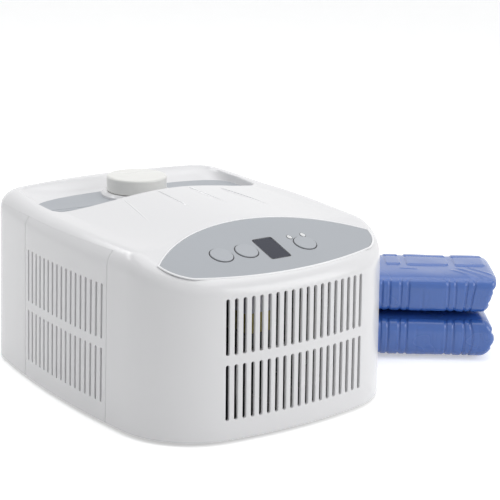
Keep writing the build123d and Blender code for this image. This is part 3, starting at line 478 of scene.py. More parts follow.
    def path_at(self, station: Array, height: float) -> Array:
        """Distance along the wall's profile at a height: 0 at the arc's foot, less below it.

        Args:
            station: Arc lengths.
            height: The height over the floor.

        Returns:
            The distances, endless where the height lies past the shoulder.
        """
        _, centre, end = self.shoulder_arc(station)
        foot = centre + self.shoulder * math.sin(self.lean)
        up = (height - centre) / self.shoulder
        on_arc = self.shoulder * (np.arcsin(np.clip(up, -1, 1)) - self.lean)
        past = (up >= np.sin(end)) | (end > math.pi / 2) & (up > 1)
        return np.where(height < foot, (height - foot) / math.cos(self.lean), np.where(past, np.inf, on_arc))

    def path_end(self, station: Array) -> Array:
        """Distance along the profile at which the shoulder meets the top."""
        return self.shoulder * (self.shoulder_arc(station)[2] - self.lean)

    def profile(self, station: Array, path: Array, sunk: Array | float) -> Array:
        """Points (columns, rows, 3) at distances along the wall and shoulder, sunk along the normal.

        Formula: below 0 the drafted wall, a straight line down; above 0 the arc, whose angle is
        the draft plus the distance over the radius.

        Args:
            station: Arc lengths of the columns.
            path: Distances along the profile, one row of them for each column.
            sunk: Depth under the surface.

        Returns:
            The points.
        """
        inset, centre, _ = (part[:, None] for part in self.shoulder_arc(station))
        angle = self.lean + np.maximum(path, 0) / self.shoulder
        foot = centre + self.shoulder * math.sin(self.lean)
        height = np.where(path < 0, foot + path * math.cos(self.lean), centre + self.shoulder * np.sin(angle))
        depth = np.where(
            path < 0, (height - self.base) * self.tan_draft, inset - self.shoulder * np.cos(angle))
        return self.lifted(station[:, None], angle, depth, height, sunk)


@dataclass
class FaciaShape:
    """The control facia's lens outline on the slope, in millimetres."""

    shape: CasingShape
    tip: Pair = (99.0, 44.0)
    bend: Pair = (94.0, 31.5)
    corner: Pair = (82.0, 21.5)
    front: float = 11.6
    rear: float = 85.0
    proud: float = 0.3
    growth: tuple[Pair, ...] = ((1.2, 0.0), (0.8, -0.6), (0.7, -0.7))
    counts: tuple[int, int, int] = (160, 30, 200)
    cover_reach: float = 6.0
    bead: tuple[Pair, ...] = (
        (0.2, -1.2), (0.2, 0.1), (0.32, 0.42), (0.6, 0.62), (1.0, 0.66), (1.4, 0.5), (1.7, 0.2), (1.85, -0.2))
    bead_sharp: float = 80.0

    def arc(self, first: Pair, middle: Pair, last: Pair, count: int) -> Array:
        """Points on the circle through three points, from the first to just before the last.

        Formula: the centre of a circle through three complex numbers, then even turns about it.

        Args:
            first: Where the arc starts.
            middle: A point that it passes.
            last: Where it ends.
            count: How many points.

        Returns:
            The points (count, 2).
        """
        a, b, c = (complex(*p) for p in (first, middle, last))
        w = (c - a) / (b - a)
        centre = (b - a) * (w - abs(w) ** 2) / (2j * w.imag) + a
        radius = abs(a - centre)
        start, end = np.angle(a - centre), np.angle(c - centre)
        through = np.angle(b - centre)
        sweep = np.mod(end - start, 2 * math.pi)
        if np.mod(through - start, 2 * math.pi) > sweep:
            sweep -= 2 * math.pi
        turn = start + sweep * np.arange(count) / count
        return np.stack([centre.real + radius * np.cos(turn), centre.imag + radius * np.sin(turn)], -1)

    def outline(self, margin: float) -> Array:
        """The closed outline (N, 2) on the slope, anticlockwise: four arcs through the named points.

        Args:
            margin: How far the outline is grown.

        Returns:
            The points.
        """
        tip, bend, corner = (
            (at[0] + grow[0] * margin, at[1] + grow[1] * margin)
            for at, grow in zip((self.tip, self.bend, self.corner), self.growth))
        mirror = [(-x, y) for x, y in (tip, bend, corner)]
        front, end, rear = self.counts
        return np.concatenate([
            self.arc(mirror[2], (0, self.front - margin), corner, front),
            self.arc(corner, bend, tip, end),
            self.arc(tip, (0, self.rear + margin), mirror[0], rear),
            self.arc(mirror[0], mirror[1], mirror[2], end)])

    def on_slope(self, flat: Array, rise: Array | float) -> Array:
        """Lift points of the slope's plane off it.

        Args:
            flat: Points (N, 2) in the plane, from its lower edge up.
            rise: How far over the plane they end.

        Returns:
            The points (N, 3).
        """
        tilt = math.radians(self.shape.slope)
        y = self.shape.slope_y + flat[..., 1] * math.cos(tilt) - rise * math.sin(tilt)
        z = self.shape.slope_z + flat[..., 1] * math.sin(tilt) + rise * math.cos(tilt)
        return np.stack([flat[..., 0] + 0 * y, y, z], -1)

    def covers(self, points: Array, margin: float) -> Array:
        """Whether points lie near the slope's plane, inside the outline drawn in by margin.

        Args:
            points: Points (N, 3).
            margin: How far the outline is drawn in.

        Returns:
            One truth value for each point.
        """
        tilt = math.radians(self.shape.slope)
        v = (points[:, 1] - self.shape.slope_y) / math.cos(tilt)
        rise = points[:, 2] - self.shape.slope_height(points[:, 1])
        curve = self.outline(-margin)
        front, rear = curve[curve[:, 1] < self.tip[1]], curve[curve[:, 1] >= self.tip[1]]
        front, rear = front[np.argsort(front[:, 0])], rear[np.argsort(rear[:, 0])]
        low = np.interp(points[:, 0], front[:, 0], front[:, 1])
        high = np.interp(points[:, 0], rear[:, 0], rear[:, 1])
        near = np.abs(rise) < self.cover_reach
        return (np.abs(points[:, 0]) < self.tip[0] - margin) & (v > low) & (v < high) & near

    def bezel(self, place: HostPlace) -> Piece:
        """Make the rounded bead that frames the facia; it is given a brighter white than the casing, a
        painted highlight along its edge.

        Formula: rows of (margin, rise) pairs that go up from inside the seat, over a rounded top
        and down into the slope.

        Args:
            place: Where the unit stands.

        Returns:
            The bead.
        """
        stack = np.stack([self.on_slope(self.outline(margin), rise) for margin, rise in self.bead], axis=1)
        skin = SkinMesh()
        skin.grid(stack, closed=True, flip=True)
        return skin.build("facia_bezel", place, sharp_degrees=self.bead_sharp)


@dataclass
class WellShape:
    """The recess behind the hood, in millimetres about the unit's middle.

    steep_fall is the reach at which the lip's turn is steepest, and the reach over which it
    loses one radian. top_ease is the share of the top's rows that follows a smooth step.
    """

    centre: Pair = (0.0, 74.0)
    split_y: float = 72.0
    lip_half: float = 100.0
    lip_spread: float = 8.0
    lip_rear: float = 55.6
    lip_power: float = 4.4
    front_y: float = 31.0
    front_bow: float = 3.0
    front_power: float = 9.0
    floor_z: float = 137.0
    floor_half: float = 98.2
    floor_rear: float = 35.0
    floor_power: float = 2.8
    floor_gap: float = 2.6
    lip_radius: float = 1.5
    neck_y: float = 81.0
    neck_hole: float = 20.6
    rim_least: float = 2.4
    curve_points: int = 2400
    neck_points: int = 720
    bow_half: float = 60.0
    spread_lead: float = 2.0
    spread_length: float = 22.0
    thin_wall: float = 1.2
    top_steps: int = 48
    top_ease: float = 0.35
    lip_steps: int = 6
    steepness: Pair = (0.75, 1.45)
    steep_fall: Pair = (3.0, 22.0)
    fall_steps: int = 14
    fall_pull: float = 0.62
    floor_pull: float = 0.45
    floor_shares: tuple[float, ...] = (0.15, 0.5, 1.0)

    def closed_curve(
        self, half: float, rear: float, rear_power: float, front_y: float, spread: float
    ) -> Array:
        """A closed outline: a superellipse behind the split and a squarer one before it.

        Formula: |x / half| to a power plus |dy / reach| to that power is 1, with its own power and
        reach on each side of the split; the front edge bows with the square of x, and the sides
        spread a little towards the rear.

        Args:
            half: Half the width.
            rear: Reach behind the split.
            rear_power: The power behind the split.
            front_y: Where the front edge lies.
            spread: How much wider the sides end.

        Returns:
            The points (N, 2).
        """
        turn = full_turn(self.curve_points)
        cos, sin = np.cos(turn), np.sin(turn)
        power = np.where(sin > 0, rear_power, self.front_power)
        reach = np.where(sin > 0, rear, self.split_y - front_y)
        x = half * signed_power(cos, 2 / power)
        y = self.split_y + reach * signed_power(sin, 2 / power)
        ahead = np.clip((self.split_y - y) / (self.split_y - front_y), 0, 1)
        bow = self.front_bow * (x / self.bow_half) ** 2 * ahead
        x = x * (1 + spread / half * smooth_step((y - self.split_y + self.spread_lead) / self.spread_length))
        return np.stack([x, y + bow], -1)

    def at_bearings(self, curve: Array, bearing: Array) -> Array:
        """Where rays from the well's centre cross a closed curve.

        Formula: the curve's points sorted by their own bearing, read off at the rays' bearings.

        Args:
            curve: The curve's points (N, 2).
            bearing: The rays' bearings.

        Returns:
            One point for each ray.
        """
        dx, dy = curve[:, 0] - self.centre[0], curve[:, 1] - self.centre[1]
        turn = np.unwrap(np.arctan2(dy, dx))
        order = np.argsort(turn)
        turn, curve = turn[order], curve[order]
        period = 2 * math.pi
        wrapped = turn[0] + np.mod(bearing - turn[0], period)
        turn = np.concatenate([turn, [turn[0] + period]])
        curve = np.concatenate([curve, curve[:1]])
        return np.stack([np.interp(wrapped, turn, curve[:, k]) for k in (0, 1)], -1)

    def lip(self, bearing: Array) -> Array:
        """The lip's outline at bearings from the well's centre."""
        return self.at_bearings(
            self.closed_curve(self.lip_half, self.lip_rear, self.lip_power, self.front_y, self.lip_spread),
            bearing)

    def floor(self, bearing: Array, inset: float = 0.0) -> Array:
        """The floor's outline at bearings from the well's centre.

        Args:
            bearing: The bearings.
            inset: How far the outline is drawn in.

        Returns:
            One point for each bearing.
        """
        curve = self.closed_curve(
            self.floor_half - inset, self.floor_rear - inset, self.floor_power,
            self.front_y + self.floor_gap + inset, 0.0)
        return self.at_bearings(curve, bearing)

    def neck(self, bearing: Array) -> Array:
        """The circle of the neck's hole at bearings from the well's centre."""
        turn, middle = full_turn(self.neck_points), np.array([0.0, self.neck_y])
        return self.at_bearings(self.neck_hole * np.stack([np.cos(turn), np.sin(turn)], -1) + middle, bearing)


@dataclass
class VentRows:
    """Two rows of upright slots in a wall, in millimetres."""

    count: int
    pitch: float
    slot: float
    bottoms: Pair = (18.3, 68.8)
    height: float = 43.2
    margins: tuple[float, float, float] = (14.0, 65.15, 114.5)
    columns: int = 8
    straight: int = 6
    lip: float = 0.45
    lip_steps: int = 4
    lip_margin: float = 1.6

    def half_span(self) -> float:
        """Half the length of the slotted stretch."""
        return self.count * self.pitch / 2

    def straight_heights(self, row: int) -> Array:
        """Heights of the points along a slot's straight sides.

        Args:
            row: 0 for the lower slots, 1 for the upper ones.

        Returns:
            The heights, upwards.
        """
        low = self.bottoms[row] + self.slot / 2
        high = self.bottoms[row] + self.height - self.slot / 2
        return np.linspace(low, high, self.straight + 1)

    def heights(self) -> Array:
        """Heights of all the points up a border between two slots."""
        return np.concatenate([
            [self.margins[0]], self.straight_heights(0),
            [self.margins[1]], self.straight_heights(1), [self.margins[2]]])

    def ring(self, row: int, grow: float) -> Array:
        """A slot's round-ended outline about its middle line, grown by grow.

        Formula: straight sides joined by half circles at both ends, anticlockwise from lower right.

        Args:
            row: 0 for the lower slots, 1 for the upper ones.
            grow: How far the outline lies outside the slot.

        Returns:
            Points (N, 2) of distance from the slot's middle line and height.
        """
        sides = self.straight_heights(row)
        radius = self.slot / 2 + grow
        turn = np.linspace(0, math.pi, self.columns + 3)[1:-1]
        right = np.stack([np.full_like(sides, radius), sides], -1)
        top = np.stack([radius * np.cos(turn), sides[-1] + radius * np.sin(turn)], -1)
        left = np.stack([np.full_like(sides, -radius), sides[::-1]], -1)
        bottom = np.stack([-radius * np.cos(turn), sides[0] - radius * np.sin(turn)], -1)
        return np.concatenate([right, top, left, bottom])

    def border(self, row: int) -> Array:
        """The outline of a slot's cell, with as many points as its ring.

        Args:
            row: 0 for the lower slots, 1 for the upper ones.

        Returns:
            Points (N, 2), in the ring's order.
        """
        sides = self.straight_heights(row)
        half = self.pitch / 2
        across = np.linspace(half, -half, self.columns + 1)
        low, high = self.margins[row], self.margins[row + 1]
        right = np.stack([np.full_like(sides, half), sides], -1)
        top = np.stack([across, np.full_like(across, high)], -1)
        left = np.stack([np.full_like(sides, -half), sides[::-1]], -1)
        bottom = np.stack([-across, np.full_like(across, low)], -1)
        return np.concatenate([right, top, left, bottom])

    def add_to(self, skin: SkinMesh, shape: CasingShape, middle: float) -> None:
        """Add every slot's cell to a wall.

        Formula: each cell is a stack of closed rings, from its border in to the slot's edge, round
        a small lip, through the wall and back to the border on the inner face. A ring is a pair of
        an outward growth and a depth; the lip's quarter circle gives both as sine and cosine.

        Args:
            skin: The mesh to add to.
            shape: The casing that the wall belongs to.
            middle: Arc length of the slotted stretch's middle.
        """
        turns = np.linspace(0, math.pi / 2, self.lip_steps)
        lips = [(self.lip * (1 - math.sin(t)), self.lip * (1 - math.cos(t))) for t in turns]
        rings = [(self.lip * self.lip_margin, 0.0)] + lips + [(0.0, shape.wall)]
        stations = middle + (np.arange(self.count) - (self.count - 1) / 2) * self.pitch
        for station in stations:
            for row in (0, 1):
                border = self.border(row)
                outlines = [(border, 0.0)] + [(self.ring(row, grow), sunk) for grow, sunk in rings]
                outlines.append((border, shape.wall))
                stack = np.stack([
                    shape.skin(station + flat[:, 0], flat[:, 1], sunk) for flat, sunk in outlines], axis=1)
                skin.grid(stack, closed=True)


@dataclass
class Casing:
    """The unit's moulded casing: main cover, rear cover and two side vents."""

    shape: CasingShape
    well: WellShape
    place: HostPlace
    facia: FaciaShape
    front: VentRows
    side: VentRows
    seam_front_y: float = -66.5
    seam_rear_y: float = 60.5
    side_middle_y: float = -3.0
    seam: float = 0.4
    split: float = 138.0
    split_gap: float = 0.03
    edge_steps: tuple[float, ...] = (0.0, 0.15, 0.35, 0.7)
    edge_stretch: float = 3.0
    base_steps: tuple[float, ...] = (0.6, 5.0)
    panel_rows: tuple[float, ...] = (120.0, 125.0, 129.0, 132.0, 135.0)
    rear_rows: tuple[float, float, int] = (20.0, 125.0, 16)
    front_spacing: float = 2.6
    rim_spacing: float = 3.0
    rear_spacing: float = 4.0
    seam_slack: float = 1e-4
    middle_share: float = 0.72
    under_steps: int = 8
    over_steps: int = 14
    facia_margin: float = 1.0
    crease_half: float = 1.0
    crease_steps: int = 59
    crease_sunk: float = 0.02
    crease_start: float = 0.1
    crease_end: float = 0.5
    creases: tuple[tuple[Pair, Pair, float], ...] = (
        ((45.6, 24.0), (57.9, -42.0), 0.9),
        ((16.2, 28.4), (21.2, -30.0), 0.9),
        ((-13.2, 29.0), (-15.4, -33.5), 0.75),
        ((-46.0, 28.0), (-60.0, -36.5), 0.3),
    )

    def wall_columns(self, start: float, end: float, spacing: float) -> Array:
        """Columns from start to end about spacing apart."""
        count = max(int(round(abs(end - start) / spacing)), 1)
        return np.linspace(start, end, count + 1)

    def rounded_depth(self, station: Array, low: float, high: float) -> Array:
        """How far a wall's edges are rounded inwards near its two ends: a quarter circle's fall.

        Args:
            station: Arc lengths of the columns.
            low: Arc length of the first end.
            high: Arc length of the last end.

        Returns:
            One depth for each column.
        """
        radius = self.shape.edge_round
        near = np.minimum(station - low, high - station)
        inside = np.clip(radius - near, 0, radius)
        return radius - np.sqrt(radius**2 - inside**2)

    def wall_grid(self, skin: SkinMesh, columns: Array, heights: Array, ends: Pair) -> None:
        """Add a stretch of wall with its inner face.

        Args:
            skin: The mesh to add to.
            columns: Arc lengths of the columns.
            heights: Heights of the rows.
            ends: Arc lengths of the panel's two seams, whose edges are rounded.
        """
        station, height = np.meshgrid(columns, heights, indexing="ij")
        skin.grid(self.shape.skin(station, height, self.rounded_depth(station, *ends)))
        skin.grid(self.shape.skin(station, height, self.shape.wall), flip=True)

    def close_edge(
        self, skin: SkinMesh, stations: Array, heights: Array, sunk: Array | float, flip: bool
    ) -> None:
        """Close a panel's edge between its outer and inner faces.

        Args:
            skin: The mesh to add to.
            stations: Arc lengths of the edge's points.
            heights: Their heights.
            sunk: How far the outer face is rounded inwards at them.
            flip: Whether the strip looks the other way.
        """
        outer = self.shape.skin(stations, heights, sunk)
        skin.strip(outer, self.shape.skin(stations, heights, self.shape.wall), flip)

    def close_panel(self, skin: SkinMesh, columns: Array, heights: Array, top: float | None = None) -> None:
        """Close a panel's two upright edges, its lower edge and its upper one, if it has one.

        Args:
            skin: The mesh to add to.
            columns: Arc lengths of the columns, from seam to seam.
            heights: Heights of the rows.
            top: Height of the upper edge, or None.
        """
        ends = (columns[0], columns[-1])
        edge = self.rounded_depth(np.array([ends[0]]), *ends)[0]
        for station, flip in zip(ends, (True, False)):
            self.close_edge(skin, np.full_like(heights, station), heights, edge, flip)
        sunk = self.rounded_depth(columns, *ends)
        self.close_edge(skin, columns, np.full_like(columns, self.shape.base), sunk, False)
        if top is not None:
            self.close_edge(skin, columns, np.full_like(columns, top), sunk, True)

    def base_heights(self) -> Array:
        """Row heights from the lower edge to the vents' lower margin."""
        base = self.shape.base
        return np.array([base, *(base + step for step in self.base_steps), self.side.margins[0]])

    def panel_top(self) -> float:
        """Height at which the panels end, just under the main cover."""
        return self.split - self.split_gap

    def seam_stations(self) -> dict[str, float]:
        """Arc lengths of the four seams, anticlockwise from the rear middle, by name."""
        station = self.shape.side_station
        return {
            "left_rear": station(self.seam_rear_y, True), "left_front": station(self.seam_front_y, True),
            "right_front": station(self.seam_front_y, False), "right_rear": station(self.seam_rear_y, False)}

    def vent_columns(self, low: float, high: float, left: bool) -> list[Array]:
        """A vent panel's columns: before the slots, over the slots and after them.

        Args:
            low: Arc length of the panel's first edge.
            high: Arc length of its last edge.
            left: Whether it is the left panel.

        Returns:
            The three stretches, which share their ends.
        """
        middle = self.shape.side_station(self.side_middle_y, left)
        steps = np.array(self.edge_steps)
        span = self.side.half_span()
        before = np.concatenate([low + steps, [middle - span]])
        over = middle + np.linspace(-span, span, self.side.count * self.side.columns + 1)
        after = np.concatenate([[middle + span], high - steps[::-1]])
        return [before, over, after]

    def edged_columns(self, low: float, high: float, spacing: float) -> Array:
        """A plain wall's columns, closer together beside its two seams.

        Args:
            low: Arc length of the first seam.
            high: Arc length of the last seam.
            spacing: How far apart the other columns are.

        Returns:
            The columns.
        """
        steps, stretch = np.array(self.edge_steps), self.edge_stretch
        return np.concatenate(
            [low + steps, self.wall_columns(low + stretch, high - stretch, spacing), high - steps[::-1]])

    def build_vent(self, name: str, left: bool) -> Piece:
        """Make one side vent panel with its slots.

        Args:
            name: Its name.
            left: Whether it is the left panel.

        Returns:
            The panel.
        """
        skin = SkinMesh()
        seams = self.seam_stations()
        low, high = ("left_rear", "left_front") if left else ("right_front", "right_rear")
        ends = (seams[low] + self.seam / 2, seams[high] - self.seam / 2)
        stretches = self.vent_columns(*ends, left)
        every = joined(stretches)
        upper = np.array([self.side.margins[2], *self.panel_rows, self.panel_top()])
        self.wall_grid(skin, every, self.base_heights(), ends)
        self.wall_grid(skin, every, upper, ends)
        for columns in (stretches[0], stretches[-1]):
            self.wall_grid(skin, columns, self.side.heights(), ends)
        self.side.add_to(skin, self.shape, self.shape.side_station(self.side_middle_y, left))
        heights = np.concatenate([self.base_heights()[:-1], self.side.heights()[:-1], upper])
        self.close_panel(skin, every, heights, self.panel_top())
        return skin.build(name, self.place)

    def build_rear(self) -> Piece:
        """Make the rear cover: the rear wall and its two corners.

        Returns:
            The cover.
        """
        skin = SkinMesh()
        seams = self.seam_stations()
        ends = (seams["right_rear"] + self.seam / 2, seams["left_rear"] + self.shape.turn - self.seam / 2)
        columns = self.edged_columns(*ends, self.rear_spacing)
        heights = np.concatenate([
            self.base_heights(), np.linspace(*self.rear_rows), self.panel_rows[2:], [self.panel_top()]])
        self.wall_grid(skin, columns, heights, ends)
        self.close_panel(skin, columns, heights, self.panel_top())
        return skin.build("rear_cover_skin", self.place)

    def all_columns(self) -> dict[str, Array]:
        """Every column of the main cover, in stretches between the seams.

        Returns:
            The stretches by name; the front has one before, one over and one after its slots.
        """
        seams, gap = self.seam_stations(), self.seam / 2
        steps, stretch = np.array(self.edge_steps), self.edge_stretch
        middle, span = self.shape.front_middle, self.front.half_span()
        low, high = seams["left_front"] + gap, seams["right_front"] - gap
        before = self.wall_columns(low + stretch, middle - span, self.front_spacing)
        after = self.wall_columns(middle + span, high - stretch, self.front_spacing)
        return {
            "left": joined(self.vent_columns(seams["left_rear"] + gap, seams["left_front"] - gap, True)),
            "front_a": np.concatenate([low + steps, before]),
            "front_b": middle + np.linspace(-span, span, self.front.count * self.front.columns + 1),
            "front_c": np.concatenate([after, high - steps[::-1]]),
            "right": joined(self.vent_columns(seams["right_front"] + gap, seams["right_rear"] - gap, False)),
            "rear": self.edged_columns(
                seams["right_rear"] + gap, seams["left_rear"] + self.shape.turn - gap, self.rim_spacing),
        }

    def well_lines(self, columns: Array) -> tuple[Array, Array, Array, Array]:
        """Where each column leaves the shoulder, crosses the well's lip, reaches its floor and the neck.

        Formula: rays from the well's centre to the shoulder's upper end; the lip lies at least
        rim_least inside that end.

        Args:
            columns: Arc lengths of the columns.

        Returns:
            Four rows of points (N, 2).
        """
        shape, well = self.shape, self.well
        inset, _, end = shape.shoulder_arc(columns)
        point, normal = shape.outline(columns)
        start = point - normal * (inset - shape.shoulder * np.cos(end))[:, None]
        away = start - np.array(well.centre)
        bearing = np.arctan2(away[:, 1], away[:, 0])
        lip = well.lip(bearing)
        toward = -away / np.linalg.norm(away, axis=1, keepdims=True)
        rim = ((lip - start) * toward).sum(axis=1, keepdims=True)
        lip = lip + toward * np.maximum(well.rim_least - rim, 0)
        return start, lip, well.floor(bearing), well.neck(bearing)

    def top_rows(self, columns: Array, sunk: bool) -> Array:
        """Rows from the shoulder over the top, round the lip, down the well and in to the neck.

        Formula: straight lines in plan from the shoulder to the lip, lifted to the top's height;
        the lip is an arc of its own radius; the well's wall is a cubic Bezier curve from the lip
        down to the floor; the floor runs in to the neck's hole.

        Args:
            columns: Arc lengths of the columns.
            sunk: Whether to give the inner face.

        Returns:
            The points (columns, rows, 3).
        """
        shape, well = self.shape, self.well
        start, lip, floor, neck = self.well_lines(columns)
        inwards = floor - lip
        reach = np.linalg.norm(inwards, axis=1, keepdims=True)
        inwards = inwards / reach
        lip_start = lip - inwards * well.lip_radius
        even = np.linspace(0, 1, well.top_steps)
        share = smooth_step(even) * well.top_ease + even * (1 - well.top_ease)
        flat = start[:, None] + (lip_start - start)[:, None] * share[None, :, None]
        thick = well.thin_wall if sunk else 0.0
        ramp = shape.wall + (well.thin_wall - shape.wall) * share if sunk else 0 * share
        height = shape.top_height(flat[..., 0], flat[..., 1]) - ramp
        top = np.concatenate([flat, height[..., None]], -1)
        radius = well.lip_radius - thick
        least, most = well.steepness
        steep = np.clip(most - (reach[:, 0] - well.steep_fall[0]) / well.steep_fall[1], least, most)
        turn = steep[:, None] * np.linspace(0, 1, well.lip_steps + 1)[None, 1:]
        lip_height = shape.top_height(lip_start[:, 0], lip_start[:, 1])
        drop = well.lip_radius - radius * np.cos(turn)
        bend = np.concatenate([
            lip_start[:, None] + inwards[:, None] * (radius * np.sin(turn))[..., None],
            (lip_height[:, None] - drop)[..., None]], -1)
        first = bend[:, -1]
        last = np.concatenate([floor, np.full((len(columns), 1), well.floor_z - thick)], -1)
        if sunk:
            last[:, :2] -= inwards * thick
        pull = well.fall_pull * (first[:, 2] - last[:, 2])
        run = np.linalg.norm(last[:, :2] - first[:, :2], axis=1)
        down = np.concatenate(
            [inwards * (np.cos(steep) * pull)[:, None], (-np.sin(steep) * pull)[:, None]], -1)
        back = np.concatenate([-inwards * (well.floor_pull * run)[:, None], np.zeros((len(columns), 1))], -1)
        t = np.linspace(0, 1, well.fall_steps + 1)[None, 1:, None]
        curve = ((1 - t) ** 3 * first[:, None] + 3 * (1 - t) ** 2 * t * (first + down)[:, None]
                 + 3 * (1 - t) * t**2 * (last + back)[:, None] + t**3 * last[:, None])
        inner_share = np.array(well.floor_shares)
        ground = last[:, None, :2] + (neck - last[:, :2])[:, None] * inner_share[None, :, None]
        ground = np.concatenate([ground, np.full(ground.shape[:2] + (1,), well.floor_z - thick)], -1)
        return np.concatenate([top, bend, curve, ground], axis=1)

    def build_main(self) -> Piece:
        """Make the main cover: front wall, shoulders, slope, hood and well.

        Formula: over the vents and the rear cover the rows start at the split; over the front they
        start at the grille's upper margin, with more rows up to where the split would be. Both
        meet at the two front seams, whose columns they share.

        Returns:
            The cover.
        """
        shape = self.shape
        skin = SkinMesh()
        parts = self.all_columns()
        every = np.unique(np.round(np.mod(np.concatenate(list(parts.values())), shape.turn), 6))
        front = every[self.in_front(every)]
        others = np.concatenate([every[every >= front[-1]], every[every <= front[0]] + shape.turn])
        share = np.linspace(0, 1, self.over_steps + 1)
        low_share = np.linspace(0, 1, self.under_steps + 1)
        end = shape.path_end(front)
        low = shape.path_at(front, self.front.margins[2])
        middle = np.minimum(shape.path_at(front, self.split), low + self.middle_share * (end - low))
        edge = self.rounded_depth(front, front[0], front[-1])[:, None] * (1 - smooth_step(low_share))
        under = low[:, None] + (middle - low)[:, None] * low_share
        over = middle[:, None] + (end - middle)[:, None] * share
        split = shape.path_at(others, self.split)
        rim = split[:, None] + (shape.path_end(others) - split)[:, None] * share
        for thick, flip in ((0.0, False), (shape.wall, True)):
            inner = thick > 0
            lower = shape.profile(front, under, thick if inner else edge)
            rows = [lower[:, :-1], shape.profile(front, over, thick), self.top_rows(front, inner)[:, 1:]]
            skin.grid(np.concatenate(rows, axis=1), flip=flip)
            rows = [shape.profile(others, rim, thick), self.top_rows(others, inner)[:, 1:]]
            skin.grid(np.concatenate(rows, axis=1), flip=flip)
        for one, flip in ((slice(0, 1), True), (slice(-1, None), False)):
            outer = shape.profile(front[one], under[one], edge[one])[0]
            skin.strip(outer, shape.profile(front[one], under[one], shape.wall)[0], flip)
        hole = [self.top_rows(every, inner)[:, -1] for inner in (False, True)]
        skin.grid(np.stack(hole, axis=1), closed=True)
        self.add_front(skin, parts)
        self.close_edge(skin, others, np.full_like(others, self.split), np.zeros_like(others), False)
        skin.drop_inside(lambda points: self.facia.covers(points, self.facia_margin))
        for line in self.creases:
            self.add_crease(skin, *line)
        return skin.build("main_cover_skin", self.place)

    def add_crease(self, skin: SkinMesh, start: Pair, end: Pair, height: float) -> None:
        """Add a fine ridge that runs down the hood and fades out.

        Formula: a straight line in plan, lifted to the top; across it a squared cosine of the given
        height, which fades in over the first tenth and out over the last half.

        Args:
            skin: The mesh to add to.
            start: Where the ridge starts in plan.
            end: Where it ends.
            height: How high it stands.
        """
        t = np.linspace(0, 1, self.crease_steps + 1)[:, None]
        across = np.linspace(-1, 1, 9)[None, :]
        line = np.array(end) - np.array(start)
        side = np.array([-line[1], line[0]]) / np.linalg.norm(line)
        x = start[0] + line[0] * t + side[0] * across * self.crease_half
        y = start[1] + line[1] * t + side[1] * across * self.crease_half
        fade = smooth_step(t / self.crease_start) * (1 - rise_over(t, self.crease_end, self.crease_end))
        lift = height * fade * np.cos(across * math.pi / 2) ** 2 - self.crease_sunk
        skin.grid(np.stack([x, y, self.shape.top_height(x, y) + lift], -1), flip=True)

    def in_front(self, columns: Array) -> Array:
        """Which columns belong to the front stretch between the side vents."""
        seams, gap = self.seam_stations(), self.seam / 2 - self.seam_slack
        return (columns >= seams["left_front"] + gap) & (columns <= seams["right_front"] - gap)

    def add_front(self, skin: SkinMesh, parts: dict[str, Array]) -> None:
        """Add the front wall with its slots, from the lower edge to the shoulder.

        Args:
            skin: The mesh to add to.
            parts: The columns by stretch.
        """
        every = joined([parts["front_a"], parts["front_b"], parts["front_c"]])
        ends = (every[0], every[-1])
        self.wall_grid(skin, every, self.base_heights(), ends)
        for columns in (parts["front_a"], parts["front_c"]):
            self.wall_grid(skin, columns, self.front.heights(), ends)
        self.front.add_to(skin, self.shape, self.shape.front_middle)
        self.close_panel(skin, every, np.concatenate([self.base_heights()[:-1], self.front.heights()]))


# The tray in the well and the painted gap shade on the facia


@dataclass
class Tray:
    """The grey louvred tray that lies on the well's floor, in millimetres about the unit's middle."""

    well: WellShape
    place: HostPlace
    thickness: float = 1.4
    inset: float = 0.9
    lines: tuple[float, ...] = (42.0, 48.5, 55.0, 61.5)
    line_bow: float = 6.0
    line_half: float = 95.0
    line_width: float = 0.8
    line_depth: float = 1.2
    collar_reach: float = 29.0
    collar_fade: Pair = (32.0, 3.0)
    edge_fade: float = 0.06
    end_gap: float = 0.1
    lift: float = 0.03
    outline_points: int = 2000
    columns: int = 250

    def build(self) -> Piece:
        """Make the tray.

        Formula: a grid whose rows run straight across, each stretched to the floor's outline; the
        height is the tray's top less one narrow bell-shaped groove for each louvre line, whose
        distance bows with the square of x. The outermost points drop to the floor.

        Returns:
            The tray.
        """
        curve = self.well.floor(np.linspace(-math.pi, math.pi, self.outline_points), self.inset)
        right = curve[curve[:, 0] > 0]
        right = right[np.argsort(right[:, 1])]
        y = np.linspace(right[0, 1] + self.end_gap, right[-1, 1] - self.end_gap, self.columns)[None, :]
        share = np.linspace(-1, 1, self.columns)[:, None]
        x = share * np.interp(y, right[:, 1], right[:, 0])
        y = y + 0 * x
        from_neck = np.hypot(x, y - self.well.neck_y)
        fade = smooth_step((1 - np.abs(share)) / self.edge_fade) * rise_over(from_neck, *self.collar_fade)
        height = np.full_like(x, self.well.floor_z + self.thickness)
        for line in self.lines:
            away = y - line - self.line_bow * (x / self.line_half) ** 2
            height -= self.line_depth * fade * np.exp(-((away / self.line_width) ** 2))
        points = np.stack([x, y, height], -1)
        foot = points[[0, -1]].copy()
        foot[..., 2] = self.well.floor_z + self.lift
        points = np.concatenate([foot[:1], points, foot[1:]])
        ends = points[:, [0, -1]].copy()
        ends[..., 2] = self.well.floor_z + self.lift
        points = np.concatenate([ends[:, :1], points, ends[:, 1:]], axis=1)
        skin = SkinMesh()
        skin.grid(points)
        skin.drop_inside(lambda p: np.hypot(p[:, 0], p[:, 1] - self.well.neck_y) < self.collar_reach)
        return skin.build("well_tray_skin", self.place)


